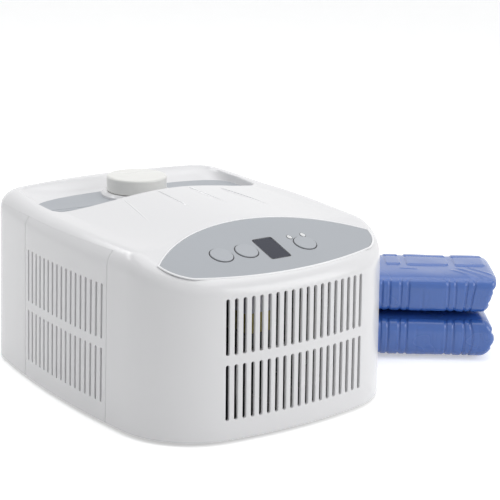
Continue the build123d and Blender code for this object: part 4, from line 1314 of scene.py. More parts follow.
@dataclass
class CapShape:
    """The filler cap: a round lid with a softly rounded rim, open below, in millimetres."""

    place: HostPlace
    centre_y: float = 81.0
    radius: float = 25.8
    bottom: float = 142.35
    top: float = 155.6
    rim: float = 2.0
    rim_steps: int = 12
    rim_gap: float = 0.5
    foot_steps: int = 7
    wall: float = 1.7
    wall_steps: int = 5
    top_shares: tuple[float, ...] = (0.97, 0.9, 0.6, 0.3, 0.0)
    around: int = 192

    def build(self) -> Piece:
        """Make the cap.

        Formula: a profile of radius and height, turned about the neck's upright axis: the under
        side, the inner wall, a small rounded foot, the outer wall, a quarter circle and the top.

        Returns:
            The cap.
        """
        half = self.wall / 2
        inner, under, foot = self.radius - self.wall, self.top - self.wall, self.bottom + self.wall
        flat = self.radius - self.rim
        profile = [(0.0, under), (inner * 0.5, under), (inner, under), (inner, foot)]
        profile += [(self.radius - half + half * math.cos(t), self.bottom + half * (1 + math.sin(t)))
                    for t in np.linspace(math.pi, 2 * math.pi, self.foot_steps)]
        profile += [(self.radius, height)
                    for height in np.linspace(foot, self.top - self.rim - self.rim_gap, self.wall_steps)]
        profile += [(self.radius - self.rim * (1 - math.cos(t)), self.top - self.rim * (1 - math.sin(t)))
                    for t in np.linspace(0, math.pi / 2, self.rim_steps)]
        profile += [(flat * share, self.top) for share in self.top_shares]
        rows = np.array(profile)
        turn = full_turn(self.around)[:, None]
        x = rows[None, :, 0] * np.cos(turn)
        y = self.centre_y + rows[None, :, 0] * np.sin(turn)
        skin = SkinMesh()
        skin.grid(np.stack([x, y, rows[None, :, 1] + 0 * x], -1), closed=True)
        return skin.build("filler_cap_skin", self.place)


@dataclass
class FaciaGapShade:
    """Dark raised rings round the buttons, the display and the lamps, on the facia: painted shade where the
    thin gaps round them lie.
    """

    facia: FaciaShape
    place: HostPlace
    buttons: tuple[Pair, ...] = ((-44.5, 43.4), (-21.3, 43.4), (33.2, 40.8))
    button_radius: float = 9.05
    display_at: Pair = (1.3, 42.0)
    display_half: Pair = (9.0, 13.85)
    lamps: tuple[Pair, ...] = ((25.8, 51.8), (38.9, 51.8))
    lamp_half: Pair = (2.05, 2.7)
    line: float = 0.75
    lamp_line: float = 0.3
    line_rise: float = 0.3
    line_sunk: float = 0.05
    line_steps: int = 6
    round_power: float = 2.0
    square_power: float = 12.0
    points: int = 180

    def ring(self, skin: SkinMesh, centre: Pair, half: Pair, power: float, width: float) -> None:
        """Add a fine raised ring, painted shade of a gap.

        Formula: a superellipse of the given power and half sizes; across it the outline grows by
        a share of its width while its rise goes up and down as a half sine.

        Args:
            skin: The mesh to add to.
            centre: Its middle on the slope's plane.
            half: Half its inner size.
            power: 2 for an ellipse, more for a squarer outline.
            width: How wide the line is.
        """
        turn = full_turn(self.points)
        shape = np.stack([signed_power(np.cos(turn), 2 / power), signed_power(np.sin(turn), 2 / power)], -1)
        rows = []
        for share in np.linspace(0, 1, self.line_steps):
            flat = np.array(centre) + shape * (np.array(half) + share * width)
            rise = self.facia.proud - self.line_sunk + self.line_rise * math.sin(share * math.pi)
            rows.append(self.facia.on_slope(flat, rise))
        skin.grid(np.stack(rows, axis=1), closed=True, flip=True)

    def build(self) -> Piece:
        """Make every ring of painted gap shade as one mesh.

        Returns:
            The outlines.
        """
        skin = SkinMesh()
        for centre in self.buttons:
            self.ring(skin, centre, (self.button_radius, self.button_radius), self.round_power, self.line)
        self.ring(skin, self.display_at, self.display_half, self.square_power, self.line)
        for centre in self.lamps:
            self.ring(skin, centre, self.lamp_half, self.round_power, self.lamp_line)
        return skin.build("facia_gap_shade", self.place)


# The folded water pad


@dataclass
class PadPlace:
    """The pad's own frame: u along its front, v inwards from it, z up, in millimetres."""

    host: HostPlace
    x: float = 192.5
    y: float = -92.1
    turn: float = -36.65

    def to_row(self, points: Array) -> Array:
        """Turn points of the pad's frame into row metres.

        Args:
            points: Points (N, 3) in millimetres.

        Returns:
            The points in the row frame, in metres.
        """
        angle = math.radians(self.turn)
        u, v = points[:, 0], points[:, 1]
        x = self.x + u * math.cos(angle) - v * math.sin(angle)
        y = self.y + u * math.sin(angle) + v * math.cos(angle)
        return self.host.to_row(np.stack([x, y, points[:, 2]], -1))


@dataclass
class Cell:
    """A welded channel: a puffed rectangle with round corners, in u and in length round the section."""

    u: Pair
    s: Pair
    rise: float = 1.15
    edge: float = 1.3
    corner: float = 3.5
    crown: float = 0.2
    crown_length: float = 5.0

    def height(self, u: Array, s: Array) -> Array:
        """How far the channel stands up.

        Formula: the distance inside a rectangle with round corners, over the edge's width, as a
        smooth step, with a slight crown that keeps growing inwards.

        Args:
            u: Places along the bundle.
            s: Lengths round its section.

        Returns:
            One height for each place.
        """
        corner = min(self.corner, (self.u[1] - self.u[0]) / 2)
        across = np.abs(u - sum(self.u) / 2) - (self.u[1] - self.u[0]) / 2 + corner
        along = np.abs(s - sum(self.s) / 2) - (self.s[1] - self.s[0]) / 2 + corner
        outside = np.hypot(np.maximum(across, 0), np.maximum(along, 0))
        inside = corner - outside - np.minimum(np.maximum(across, along), 0)
        crown = 1 - np.exp(-np.maximum(inside, 0) / self.crown_length)
        return self.rise * ((1 - self.crown) * smooth_step(inside / self.edge) + self.crown * crown)


@dataclass
class Bundle:
    """One bundle of the folded pad: a stuffed, round-edged stack with welded channels.

    end_line gives the right end's place at shares of the height. A fold is its two ends in plan
    and its height. pleat_ranges are the ranges of a pleat's place, width, height, middle and reach.
    """

    name: str
    bottom: float
    height: float
    end_line: tuple[Pair, ...]
    lean: Pair
    cells: tuple[Cell, ...]
    folds: tuple[tuple[float, float, float, float, float], ...]
    seed: int
    left: float = -74.0
    right: float = 54.0
    depth: float = 88.0
    power: float = 4.4
    end_round: float = 6.0
    columns: int = 300
    stations: int = 236
    pleats: int = 34
    layers: tuple[float, ...] = (0.34, 0.66)
    layer_width: float = 0.045
    layer_depth: float = 2.4
    inner_gap: float = 0.15
    samples: int = 6000
    lean_reach: float = 40.0
    end_steps: int = 10
    cap_steps: int = 7
    pleat_ranges: tuple[Pair, ...] = ((-70, 52), (0.8, 2.4), (-0.28, 0.22), (-16, 4), (8, 20))
    fold_fade: float = 0.25
    fold_width: float = 1.5
    swell: float = 0.25
    ripple: float = 0.12
    highest: float = 1.35
    level: float = 0.6
    swing: Pair = (18.0, 36.0)
    parting: float = -10.0
    smooth_turn: float = 80.0

    def half_height(self) -> float:
        """Half the section's height."""
        return self.height / 2 - self.inner_gap

    def section(self) -> tuple[Array, Array, Array]:
        """The section's points (v, z), outward normals and lengths from the front's middle.

        Formula: a superellipse, sampled evenly along its length; its front leans back towards the
        top and the bottom.

        Returns:
            The points, the normals and the lengths.
        """
        turn = np.linspace(-math.pi, math.pi, self.samples + 1)
        share = signed_power(np.sin(turn), 2 / self.power)
        v = self.depth / 2 * (1 - signed_power(np.cos(turn), 2 / self.power))
        z = self.half_height() * share
        low, high = np.clip(-share, 0, 1) ** 2, np.clip(share, 0, 1) ** 2
        v = v + smooth_step(1 - v / self.lean_reach) * (self.lean[0] * low + self.lean[1] * high)
        length = np.concatenate([[0], np.cumsum(np.hypot(np.diff(v), np.diff(z)))])
        even = np.linspace(0, length[-1], self.columns + 1)[:-1]
        points = np.stack([np.interp(even, length, v), np.interp(even, length, z)], -1)
        tangent = np.roll(points, -1, axis=0) - np.roll(points, 1, axis=0)
        normal = np.stack([-tangent[:, 1], tangent[:, 0]], -1)
        normal /= np.linalg.norm(normal, axis=1, keepdims=True)
        return points, normal, even - np.interp(0, turn, length)

    def rows(self) -> tuple[Array, Array]:
        """Places along the bundle and how far the section draws in at each, with closed round ends.

        Formula: a quarter circle at each end, and straight steps from there to the middle line.

        Returns:
            The places and the insets.
        """
        radius = self.end_round
        bend = np.linspace(0, math.pi / 2, self.end_steps + 1)[1:]
        cap = np.linspace(0, 1, self.cap_steps + 1)[1:]
        middle = np.linspace(self.left + radius, self.right - radius, self.stations)
        right_u = np.concatenate([self.right - radius + radius * np.sin(bend), self.right + 0 * cap])
        inset = np.concatenate([
            radius * (1 - np.cos(bend)), radius + (self.half_height() - radius) * cap])
        left_u = self.left + self.right - right_u
        return (np.concatenate([left_u[::-1], middle, right_u]),
                np.concatenate([inset[::-1], 0 * middle, inset]))

    def relief(self, u: Array, s: Array, v: Array, top: Array) -> Array:
        """How far the vinyl stands up: channels, pleats, wrinkles and a slow swell.

        Formula: the highest channel at each point; upright pleats as bells across u that fade up
        the front; wrinkles as bells across straight lines on the top; two slow sine waves.

        Args:
            u: Places along the bundle.
            s: Lengths round its section.
            v: Places across it, from its front.
            top: 1 on the top, 0 elsewhere.

        Returns:
            One height for each place.
        """
        height = np.zeros_like(u)
        for cell in self.cells:
            height = np.maximum(height, cell.height(u, s))
        random = np.random.default_rng(self.seed)
        for _ in range(self.pleats):
            at, width, size, middle, reach = (random.uniform(*span) for span in self.pleat_ranges)
            height += size * np.exp(-(((u - at) / width) ** 2) - ((s - middle) / reach) ** 2)
        for u0, v0, u1, v1, size in self.folds:
            line = np.array([u1 - u0, v1 - v0])
            length = np.linalg.norm(line)
            along = ((u - u0) * line[0] + (v - v0) * line[1]) / length**2
            across = ((u - u0) * line[1] - (v - v0) * line[0]) / length
            fade = smooth_step(along / self.fold_fade) * smooth_step((1 - along) / self.fold_fade) * top
            height += size * fade * np.exp(-((across / self.fold_width) ** 2))
        swell = self.swell * np.sin(u / 17 + self.seed) * np.sin(s / 21 + 1.3)
        return height + swell + self.ripple * np.sin(u / 7.3 + s / 9.1)

    def build(self, place: PadPlace) -> Piece:
        """Make the bundle.

        Formula: the section is carried along u and shrinks towards its middle at both ends; the
        relief, less its highest value, sinks it along its normal; the right end follows end_line,
        and both ends have a dent between the layers.

        Args:
            place: Turns the pad's millimetres into row metres.

        Returns:
            The bundle.
        """
        section, normal, length = self.section()
        base, inset = self.rows()
        half_v, half_z = self.depth / 2, self.half_height()
        v0, z0 = section[:, :1], section[:, 1:]
        u = base[None, :] + 0 * v0
        on_top = (normal[:, 1:] > self.level) + 0 * u
        rise = self.relief(u, length[:, None] + 0 * u, v0 + 0 * u, on_top)
        ends = smooth_step(np.clip(inset / self.end_round, 0, 1)[None, :])
        sunk = np.minimum((rise - self.highest) * (1 - ends), 0)
        v = half_v + (v0 - half_v) * ((half_v - inset) / half_v) + normal[:, :1] * sunk
        z = z0 * ((half_z - inset) / half_z) + normal[:, 1:] * sunk
        share = np.clip(z / half_z / 2 + 0.5, 0, 1)
        line = np.array(self.end_line)
        shift = np.interp(share, line[:, 0], line[:, 1]) - self.right
        dents = sum(np.exp(-(((share - layer) / self.layer_width) ** 2)) for layer in self.layers)
        side = np.where(u > self.parting, 1.0, -1.0)
        u = u + shift * rise_over(u, *self.swing) - side * self.layer_depth * dents * ends
        skin = SkinMesh()
        skin.grid(np.stack([u, v, z + self.bottom + self.height / 2], -1), closed=True, flip=True)
        return skin.build(self.name, place, sharp_degrees=self.smooth_turn)


@dataclass
class FoldedPad:
    """The two bundles of the folded pad and the fold that joins them at the rear."""

    place: PadPlace
    welds: tuple[float, ...] = (-61.0, -41.2, -24.9, 15.8, 31.8)
    weld_half: float = 3.5
    tube_half: float = 2.7
    ends: Pair = (-77.0, 58.0)
    tube_rise: float = 0.95
    line_half: float = 1.3
    line_rise: float = 1.35
    thin_edge: float = 0.8
    front: Pair = (-19.0, 17.5)
    lower_front: Pair = (-23.0, 21.0)
    lower_lines: tuple[float, ...] = (5.0, 40.5)
    top_spans: tuple[Pair, ...] = ((-72.0, -44.0), (-39.0, -25.0), (-20.5, 17.5), (22.0, 50.0))
    near_row: Pair = (52.0, 78.0)
    far_row: Pair = (81.0, 104.0)
    fold_u: Pair = (-58.0, 38.0)
    fold_middle: Pair = (88.2, 39.8)
    fold_half: Pair = (1.9, 11.0)
    fold_power: float = 0.7
    taper: Pair = (24.0, 2.4)
    fold_points: int = 72
    fold_columns: int = 180
    smooth_turn: float = 80.0

    def front_cells(self, low: float, high: float, lines: Sequence[float]) -> list[Cell]:
        """Channels across a bundle's front: wide ones between the welds, and a thin one at each.

        Args:
            low: Where the channels start, in length from the front's middle.
            high: Where they end.
            lines: Places of further raised lines.

        Returns:
            The channels.
        """
        edges = [self.ends[0], *self.welds, self.ends[1]]
        span = (low, high)
        return (
            [Cell((a + self.weld_half, b - self.weld_half), span) for a, b in zip(edges, edges[1:])]
            + [Cell((weld - self.tube_half, weld + self.tube_half), span, self.tube_rise, self.thin_edge)
               for weld in self.welds]
            + [Cell((line - self.line_half, line + self.line_half), span, self.line_rise, self.thin_edge)
               for line in lines])

    def top_cells(self) -> list[Cell]:
        """Channels on top of the upper bundle, one of them long, in two rows."""
        near = [Cell(span, self.near_row, rise=1.35, edge=1.2) for span in self.top_spans]
        return near + [Cell(span, self.far_row, rise=1.2) for span in self.top_spans]

    def build(self) -> dict[str, Piece]:
        """Make the three pieces.

        Returns:
            The pieces, each under the name of the node that it stands for.
        """
        upper = Bundle(
            "pad_upper_skin", 40.0, 37.0, lean=(2.2, 0.0), seed=7,
            end_line=(
                (0, 48.0), (0.2, 49.2), (0.5, 51.2), (0.72, 54.2), (0.88, 56.0), (0.95, 54.6), (1, 53.0)),
            cells=(*self.front_cells(*self.front, ()), *self.top_cells()),
            folds=((20.0, 34.0, 52.0, 4.0, 0.9), (14.0, 30.0, 44.0, 1.0, 0.55), (30.0, 36.0, 56.0, 12.0, 0.6),
                   (-30.0, 30.0, -10.0, 27.0, 0.5), (-60.0, 22.0, -46.0, 30.0, 0.4)))
        lower = Bundle(
            "pad_lower_skin", 0.0, 39.6, lean=(1.6, 2.0), seed=11,
            end_line=((0, 46.0), (0.12, 50.5), (0.3, 53.8), (0.5, 55.6), (0.72, 54.0), (1, 48.0)),
            cells=tuple(self.front_cells(*self.lower_front, self.lower_lines)), folds=())
        return {"pad_upper": upper.build(self.place), "pad_lower": lower.build(self.place),
                "pad_fold": self.build_fold()}

    def build_fold(self) -> Piece:
        """Make the fold's web.

        Formula: a flat rounded section along u, gathered a little by two sine waves, that tapers
        to nothing at both ends.

        Returns:
            The web.
        """
        turn = full_turn(self.fold_points)[:, None]
        share = np.linspace(-1, 1, self.fold_columns)[None, :]
        taper = np.maximum(1 - np.abs(share) ** self.taper[0], 0) ** (1 / self.taper[1])
        u = np.interp(share, (-1, 1), self.fold_u) + 0 * turn
        gather = 1 + 0.10 * np.sin(u / 2.9) + 0.06 * np.sin(u / 1.3 + 0.8)
        v = self.fold_middle[0] - self.fold_half[0] * taper * gather * np.cos(turn)
        z = self.fold_middle[1] + self.fold_half[1] * taper * signed_power(np.sin(turn), self.fold_power)
        skin = SkinMesh()
        skin.grid(np.stack([u, v, z], -1), closed=True, flip=True)
        return skin.build("pad_fold_skin", self.place, sharp_degrees=self.smooth_turn)


# Finishes


def wire(tree: Tree, *pairs: tuple[bpy.types.NodeSocket, bpy.types.NodeSocket]) -> None:
    """Link each output to its input."""
    for output, target in pairs:
        tree.links.new(output, target)


def new_group(name: str, inputs: dict[str, str], outputs: dict[str, str]) -> Tree:
    """Start a shader node group.

    Args:
        name: The group's name.
        inputs: Its inputs, each with its kind of socket.
        outputs: Its outputs, in the same form.

    Returns:
        The group, with its input and output nodes in it.
    """
    group = bpy.data.node_groups.new(name, "ShaderNodeTree")
    for way, sockets in (("INPUT", inputs), ("OUTPUT", outputs)):
        for socket, kind in sockets.items():
            group.interface.new_socket(socket, in_out=way, socket_type=f"NodeSocket{kind}")
    return group


def tone_group() -> Tree:
    """A group that shades a colour a little by large soft patches.

    Returns:
        The group, with inputs Colour, Depth and Scale, and the output Colour.
    """
    found = bpy.data.node_groups.get("moulding_tone")
    if found:
        return found
    group = new_group(
        "moulding_tone", {"Colour": "Color", "Depth": "Float", "Scale": "Float"}, {"Colour": "Color"})
    nodes = group.nodes
    source, out = nodes.new("NodeGroupInput"), nodes.new("NodeGroupOutput")
    where, patches = nodes.new("ShaderNodeTexCoord"), nodes.new("ShaderNodeTexNoise")
    patches.inputs["Detail"].default_value = 1.0
    spread = nodes.new("ShaderNodeMapRange")
    for socket, value in (("From Min", 0.15), ("From Max", 0.85), ("To Min", 1.0)):
        spread.inputs[socket].default_value = value
    lowest = nodes.new("ShaderNodeMath")
    lowest.operation = "SUBTRACT"
    lowest.inputs[0].default_value = 1.0
    shade = nodes.new("ShaderNodeVectorMath")
    shade.operation = "SCALE"
    wire(group,
         (where.outputs["Object"], patches.inputs["Vector"]),
         (source.outputs["Scale"], patches.inputs["Scale"]),
         (patches.outputs["Fac"], spread.inputs["Value"]),
         (source.outputs["Depth"], lowest.inputs[1]),
         (lowest.outputs[0], spread.inputs["To Max"]),
         (source.outputs["Colour"], shade.inputs[0]),
         (spread.outputs["Result"], shade.inputs["Scale"]),
         (shade.outputs["Vector"], out.inputs["Colour"]))
    return group


def grain_group() -> Tree:
    """A group that gives a surface's fine grain and its slow change of roughness.

    Returns:
        The group, with inputs Scale, Smooth and Rough, and outputs Height and Roughness.
    """
    found = bpy.data.node_groups.get("surface_grain")
    if found:
        return found
    group = new_group(
        "surface_grain", dict.fromkeys(("Scale", "Smooth", "Rough"), "Float"),
        dict.fromkeys(("Height", "Roughness"), "Float"))
    nodes = group.nodes
    source, out = nodes.new("NodeGroupInput"), nodes.new("NodeGroupOutput")
    where = nodes.new("ShaderNodeTexCoord")
    fine, broad = nodes.new("ShaderNodeTexNoise"), nodes.new("ShaderNodeTexNoise")
    fine.inputs["Detail"].default_value = 3.0
    broad.inputs["Scale"].default_value = 22.0
    broad.inputs["Detail"].default_value = 2.0
    spread = nodes.new("ShaderNodeMapRange")
    spread.inputs["From Min"].default_value = 0.3
    spread.inputs["From Max"].default_value = 0.7
    wire(group,
         (where.outputs["Object"], fine.inputs["Vector"]),
         (where.outputs["Object"], broad.inputs["Vector"]),
         (source.outputs["Scale"], fine.inputs["Scale"]),
         (broad.outputs["Fac"], spread.inputs["Value"]),
         (source.outputs["Smooth"], spread.inputs["To Min"]),
         (source.outputs["Rough"], spread.inputs["To Max"]),
         (fine.outputs["Fac"], out.inputs["Height"]),
         (spread.outputs["Result"], out.inputs["Roughness"]))
    return group


@dataclass(frozen=True)
class Moulded:
    """A moulded plastic, rubber or painted finish."""

    name: str
    colour: tuple[float, float, float]
    smooth: float = 0.26
    rough: float = 0.32
    tone: float = 0.03
    tone_scale: float = 9.0
    grain: float = 900.0
    bump: float = 0.02
    metallic: float = 0.0
    coat: float = 0.0
    specular: float = 0.5
    coat_roughness: float = 0.12
    bump_distance: float = 0.0005

    def build(self) -> bpy.types.Material:
        """Make the material: toned colour, grained bump and slightly varied roughness.

        Returns:
            The material.
        """
        material = bpy.data.materials.new(self.name)
        material.use_nodes = True
        nodes = material.node_tree.nodes
        shader = nodes["Principled BSDF"]
        tone, grain = nodes.new("ShaderNodeGroup"), nodes.new("ShaderNodeGroup")
        tone.node_tree, grain.node_tree = tone_group(), grain_group()
        bump = nodes.new("ShaderNodeBump")
        for node, values in (
            (shader, {"Metallic": self.metallic, "Coat Weight": self.coat,
                      "Coat Roughness": self.coat_roughness, "Specular IOR Level": self.specular}),
            (tone, {"Colour": (*self.colour, 1), "Depth": self.tone, "Scale": self.tone_scale}),
            (grain, {"Scale": self.grain, "Smooth": self.smooth, "Rough": self.rough}),
            (bump, {"Strength": self.bump, "Distance": self.bump_distance}),
        ):
            for socket, value in values.items():
                node.inputs[socket].default_value = value
        wire(material.node_tree,
             (tone.outputs["Colour"], shader.inputs["Base Color"]),
             (grain.outputs["Roughness"], shader.inputs["Roughness"]),
             (grain.outputs["Height"], bump.inputs["Height"]),
             (bump.outputs["Normal"], shader.inputs["Normal"]))
        return material


CASING_FINISH = Moulded("casing_white", (0.80, 0.795, 0.805), smooth=0.17, rough=0.22, tone=0.015,
                        tone_scale=5.0, grain=250.0, bump=0.003)
FACIA_FINISH = Moulded("facia_grey", (0.40, 0.42, 0.45), smooth=0.34, rough=0.42, tone=0.05)
LOUVRE_FINISH = Moulded("louvre_grey", (0.40, 0.42, 0.45), smooth=0.4, rough=0.5)
BUTTON_FINISH = Moulded("button_grey", (0.42, 0.44, 0.47), smooth=0.34, rough=0.42, tone=0.04)
# black plastic of the inner parts; on the facia rings the same black is painted shade of the gaps
BLACK_AND_GAP_SHADE_FINISH = Moulded("inner_black_and_gap_shade", (0.02, 0.02, 0.022), smooth=0.4, rough=0.55)
DISPLAY_FINISH = Moulded("display_glass", (0.018, 0.022, 0.04), smooth=0.16, rough=0.24, specular=0.3)
LAMP_FINISH = Moulded("lamp_white", (0.78, 0.79, 0.80), smooth=0.15, rough=0.2)
CAP_FINISH = Moulded("cap_cream", (0.82, 0.815, 0.785), smooth=0.26, rough=0.34, tone=0.02, bump=0.003)
RUBBER_FINISH = Moulded("rubber_dark", (0.03, 0.03, 0.03), smooth=0.6, rough=0.75, bump=0.2)
STEEL_FINISH = Moulded("steel_bright", (0.55, 0.55, 0.56), smooth=0.25, rough=0.4, metallic=1.0)
CORE_FINISH = Moulded("core_dark", (0.05, 0.05, 0.055), smooth=0.45, rough=0.6)
COIL_FINISH = Moulded("coil_yellow", (0.50, 0.42, 0.12), smooth=0.35, rough=0.5, tone=0.25, tone_scale=240.0)
TERMINAL_FINISH = Moulded("terminal_white", (0.62, 0.62, 0.68), smooth=0.35, rough=0.5)
BOARD_FINISH = Moulded("board_green", (0.03, 0.14, 0.07), smooth=0.35, rough=0.5, tone=0.3, tone_scale=300.0)
CAPACITOR_FINISH = Moulded("capacitor_blue", (0.04, 0.05, 0.11), smooth=0.3, rough=0.4)
FOAM_FINISH = Moulded("foam_grey", (0.09, 0.09, 0.095), smooth=0.85, rough=0.95, bump=0.6, grain=700.0)
TANK_FINISH = Moulded("tank_milky", (0.62, 0.65, 0.66), smooth=0.35, rough=0.45)
ALUMINIUM_FINISH = Moulded("aluminium_satin", (0.62, 0.63, 0.64), smooth=0.3, rough=0.45, metallic=1.0)
HOSE_FINISH = Moulded("hose_clear", (0.55, 0.56, 0.56), smooth=0.25, rough=0.35)
COUPLING_FINISH = Moulded("coupling_white", (0.70, 0.70, 0.71), smooth=0.28, rough=0.35)
SEAL_FINISH = Moulded("seal_dark", (0.03, 0.03, 0.03), smooth=0.5, rough=0.65)
PAD_FINISH = Moulded("pad_vinyl_blue", (0.045, 0.135, 0.46), smooth=0.20, rough=0.30, tone=0.10,
                     tone_scale=30.0, grain=300.0, bump=0.05, coat=0.35, specular=0.6)
# painted highlight: the bead is the casing's plastic, made a brighter white to stand for light on its rounded
# edge
BEZEL_HIGHLIGHT_FINISH = Moulded("bezel_painted_highlight", (0.93, 0.93, 0.94), smooth=0.10, rough=0.16, tone=0.01, bump=0.0)
FLOOR_FINISH = Moulded("floor_white", (0.93, 0.93, 0.925), smooth=0.6, rough=0.7, bump=0.0)


FINISH_OF_NODES = (
    (CASING_FINISH, ("main_cover", "rear_cover", "vent_panel_left", "vent_panel_right", "filler_neck",
                     "neck_collar")),
    (FACIA_FINISH, ("facia_plate",)),
    (LOUVRE_FINISH, ("well_tray",)),
    (BUTTON_FINISH, ("button_left", "button_middle", "button_right")),
    (DISPLAY_FINISH, ("display_window",)),
    (LAMP_FINISH, ("lamp_lenses",)),
    (CAP_FINISH, ("filler_cap",)),
    (BLACK_AND_GAP_SHADE_FINISH, ("display_module", "base_pan", "fan_frame", "fan_rotor", "pump_body", "pump_impeller",
                   "power_gland", "tact_switches")),
    (COUPLING_FINISH, ("level_stem", "level_float", "outlet_coupling", "inlet_coupling", "drain_plug",
                       "pad_ports")),
    (SEAL_FINISH, ("neck_seal", "cap_seal")),
    (RUBBER_FINISH, ("rubber_feet",)),
    (STEEL_FINISH, ("base_screws", "transformer_bracket")),
    (CORE_FINISH, ("transformer_core",)),
    (COIL_FINISH, ("transformer_coil",)),
    (TERMINAL_FINISH, ("terminal_block",)),
    (BOARD_FINISH, ("control_board", "power_board")),
    (CAPACITOR_FINISH, ("capacitors",)),
    (FOAM_FINISH, ("dust_filter_left", "dust_filter_right")),
    (TANK_FINISH, ("water_tank", "tank_lid")),
    (ALUMINIUM_FINISH, ("radiator",)),
    (HOSE_FINISH, ("supply_hose", "return_hose", "radiator_hose")),
)


def dress(piece: Piece, material: bpy.types.Material) -> None:
    """Give a piece one material."""
    piece.data.materials.clear()
    piece.data.materials.append(material)


# Studio


@dataclass(frozen=True)
class Lamp:
    """A soft rectangular lamp: where it hangs, what it looks at, its size and its power."""

    name: str
    place: tuple[float, float, float]
    aim: tuple[float, float, float]
    size: Pair
    power: float

    def hang(self) -> None:
        """Hang the lamp."""
        data = bpy.data.lights.new(self.name, "AREA")
        data.shape = "RECTANGLE"
        data.size, data.size_y = self.size
        data.energy = self.power
        made = bpy.data.objects.new(self.name, data)
        aimed = (Vector(self.aim) - Vector(self.place)).to_track_quat("-Z", "Y")
        made.matrix_world = Matrix.Translation(self.place) @ aimed.to_matrix().to_4x4()
        bpy.context.scene.collection.objects.link(made)


@dataclass
class Studio:
    """Floor, lamps, world and camera, in metres."""

    eye: tuple[float, float, float] = (-0.74534, -0.98738, 0.42854)
    right: tuple[float, float, float] = (0.8054, -0.5924, 0.0200)
    up: tuple[float, float, float] = (0.1394, 0.2221, 0.9650)
    back: tuple[float, float, float] = (-0.5761, -0.7744, 0.2615)
    lens: float = 106.8
    sensor: float = 36.0
    world_colour: tuple[float, float, float, float] = (0.97, 0.985, 1.0, 1)
    world_light: float = 0.48
    floor_glow: float = 0.45
    floor_half: float = 6.0
    lamps: tuple[Lamp, ...] = (
        Lamp("top_soft", (0.1, 0.1, 1.5), (0, 0, 0.1), (1.6, 1.6), 10.0),
        Lamp("front_soft", (0.9, -1.4, 0.8), (0, 0, 0.08), (1.0, 1.0), 9.5),
        Lamp("left_strip", (-0.50, 1.15, 1.35), (-0.15, -0.05, 0.13), (1.3, 0.12), 3.5),
    )

    def camera(self) -> None:
        """Stand the camera at the photograph's viewing angle."""
        data = bpy.data.cameras.new("camera")
        data.lens = self.lens
        data.sensor_width = self.sensor
        made = bpy.data.objects.new("camera", data)
        made.matrix_world = Matrix((*zip(self.right, self.up, self.back, self.eye), (0, 0, 0, 1)))
        bpy.context.scene.collection.objects.link(made)
        bpy.context.scene.camera = made

    def seen_directly(self, tree: Tree) -> bpy.types.NodeSocket:
        """Whether a ray comes from the camera, a gloss or a clear surface.

        Args:
            tree: The nodes to add to.

        Returns:
            A socket that gives 0 or 1.
        """
        path = tree.nodes.new("ShaderNodeLightPath")
        found = path.outputs["Is Camera Ray"]
        for name in ("Is Glossy Ray", "Is Transmission Ray"):
            larger = tree.nodes.new("ShaderNodeMath")
            larger.operation = "MAXIMUM"
            wire(tree, (found, larger.inputs[0]), (path.outputs[name], larger.inputs[1]))
            found = larger.outputs[0]
        return found

    def world(self) -> None:
        """An even pale world, white where it is seen directly."""
        world = bpy.data.worlds.new("studio")
        bpy.context.scene.world = world
        world.use_nodes = True
        nodes = world.node_tree.nodes
        shade = nodes["Background"]
        shade.inputs["Color"].default_value = self.world_colour
        shade.inputs["Strength"].default_value = self.world_light
        bright = nodes.new("ShaderNodeBackground")
        bright.inputs["Color"].default_value = (1, 1, 1, 1)
        bright.inputs["Strength"].default_value = 1.0
        mix = nodes.new("ShaderNodeMixShader")
        wire(world.node_tree,
             (self.seen_directly(world.node_tree), mix.inputs["Fac"]),
             (shade.outputs[0], mix.inputs[1]), (bright.outputs[0], mix.inputs[2]),
             (mix.outputs[0], nodes["World Output"].inputs["Surface"]))

    def floor(self) -> None:
        """A plain pale floor that is white where it is seen directly, and keeps the shadow."""
        half = self.floor_half
        mesh = bpy.data.meshes.new("floor")
        corners = [(-half, -half, 0), (half, -half, 0), (half, half, 0), (-half, half, 0)]
        mesh.from_pydata(corners, [], [(0, 1, 2, 3)])
        made = bpy.data.objects.new("floor", mesh)
        bpy.context.scene.collection.objects.link(made)
        material = FLOOR_FINISH.build()
        tree = material.node_tree
        glow, both = tree.nodes.new("ShaderNodeEmission"), tree.nodes.new("ShaderNodeAddShader")
        strength = tree.nodes.new("ShaderNodeMath")
        strength.operation = "MULTIPLY"
        strength.inputs[1].default_value = self.floor_glow
        wire(tree,
             (self.seen_directly(tree), strength.inputs[0]),
             (strength.outputs[0], glow.inputs["Strength"]),
             (tree.nodes["Principled BSDF"].outputs[0], both.inputs[0]), (glow.outputs[0], both.inputs[1]),
             (both.outputs[0], tree.nodes["Material Output"].inputs["Surface"]))
        dress(made, material)

    def build(self) -> None:
        """Set up the whole studio."""
        bpy.context.scene.view_settings.view_transform = "Standard"
        self.camera()
        self.world()
        self.floor()
        for lamp in self.lamps:
            lamp.hang()


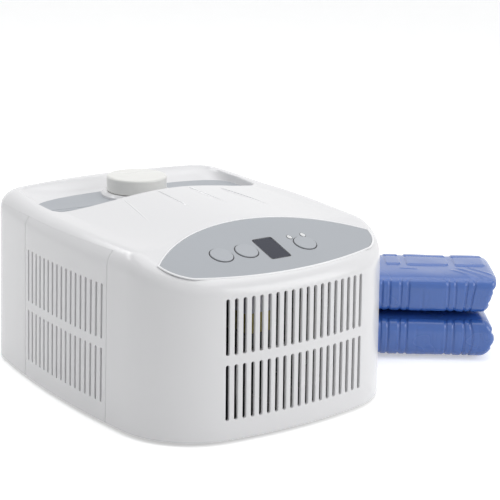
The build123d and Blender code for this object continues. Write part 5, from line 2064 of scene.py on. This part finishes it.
class Assembly:
    """The whole visual model: finishes on the frame's nodes, and the new pieces around them."""

    FRONT_VENTS = VentRows(count=19, pitch=7.1, slot=3.0)
    SIDE_VENTS = VentRows(count=17, pitch=7.14, slot=2.3)
    FOLD_LOW = (-10.0, 88.5, 35.0)
    FOLD_HIGH = (-10.0, 88.5, 44.6)

    def __init__(self) -> None:
        """Find where the unit stands."""
        self.place = HostPlace.from_frame()
        self.materials: dict[str, bpy.types.Material] = {}

    def material(self, finish: Moulded) -> bpy.types.Material:
        """A finish's material, made once.

        Args:
            finish: The finish.

        Returns:
            Its material.
        """
        if finish.name not in self.materials:
            self.materials[finish.name] = finish.build()
        return self.materials[finish.name]

    def dress_nodes(self) -> None:
        """Give every node of the frame its finish."""
        for finish, nodes in FINISH_OF_NODES:
            for node in nodes:
                dress(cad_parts[node], self.material(finish))

    def build_unit(self) -> None:
        """Make the unit's new pieces; each rides its body and stands for its node."""
        shape, well, place = CasingShape(), WellShape(), self.place
        facia = FaciaShape(shape)
        casing = Casing(shape, well, place, facia, self.FRONT_VENTS, self.SIDE_VENTS)
        for piece, node, finish, slot in (
            (casing.build_main(), "main_cover", CASING_FINISH, Slot.CASING),
            (casing.build_rear(), "rear_cover", CASING_FINISH, Slot.CASING),
            (casing.build_vent("vent_left_skin", True), "vent_panel_left", CASING_FINISH, Slot.CASING),
            (casing.build_vent("vent_right_skin", False), "vent_panel_right", CASING_FINISH, Slot.CASING),
            (Tray(well, place).build(), "well_tray", LOUVRE_FINISH, Slot.LOUVRES),
            # painted shade: dark rings stand where the thin gaps round the buttons, the display and the lamps
            # lie in shade
            (FaciaGapShade(facia, place).build(), None, BLACK_AND_GAP_SHADE_FINISH, Slot.DARK),
            # painted highlight: the bead's brighter white stands for light on its rounded edge
            (facia.bezel(place), None, BEZEL_HIGHLIGHT_FINISH, Slot.CASING),
            (CapShape(place).build(), "filler_cap", CAP_FINISH, Slot.CAP),
        ):
            dress(piece, self.material(finish))
            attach(piece, "cap_body" if node == "filler_cap" else "unit")
            if node:
                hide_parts(node)
            log.info("made %s with %d faces", piece.name, len(piece.data.polygons))

    def build_pad(self) -> None:
        """Make the pad's bundles, which ride their bodies, and the fold, which stays fixed in place."""
        pad_place = PadPlace(self.place)
        for node, piece in FoldedPad(pad_place).build().items():
            dress(piece, self.material(PAD_FINISH))
            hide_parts(node)
            if node == "pad_fold":
                low, high = pad_place.to_row(np.array([self.FOLD_LOW, self.FOLD_HIGH]))
                tuple(low)
                tuple(high)
                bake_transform(piece)
            else:
                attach(piece, f"{node}_body")
            log.info("made %s with %d faces", piece.name, len(piece.data.polygons))


def main() -> None:
    """Build the studio and every class in order, and report each piece."""
    logging.basicConfig(level=logging.INFO, format="%(message)s")
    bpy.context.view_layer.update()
    Studio().build()
    assembly = Assembly()
    assembly.dress_nodes()
    assembly.build_unit()
    assembly.build_pad()
    bpy.context.view_layer.update()


if __name__ == "__main__":
    main()
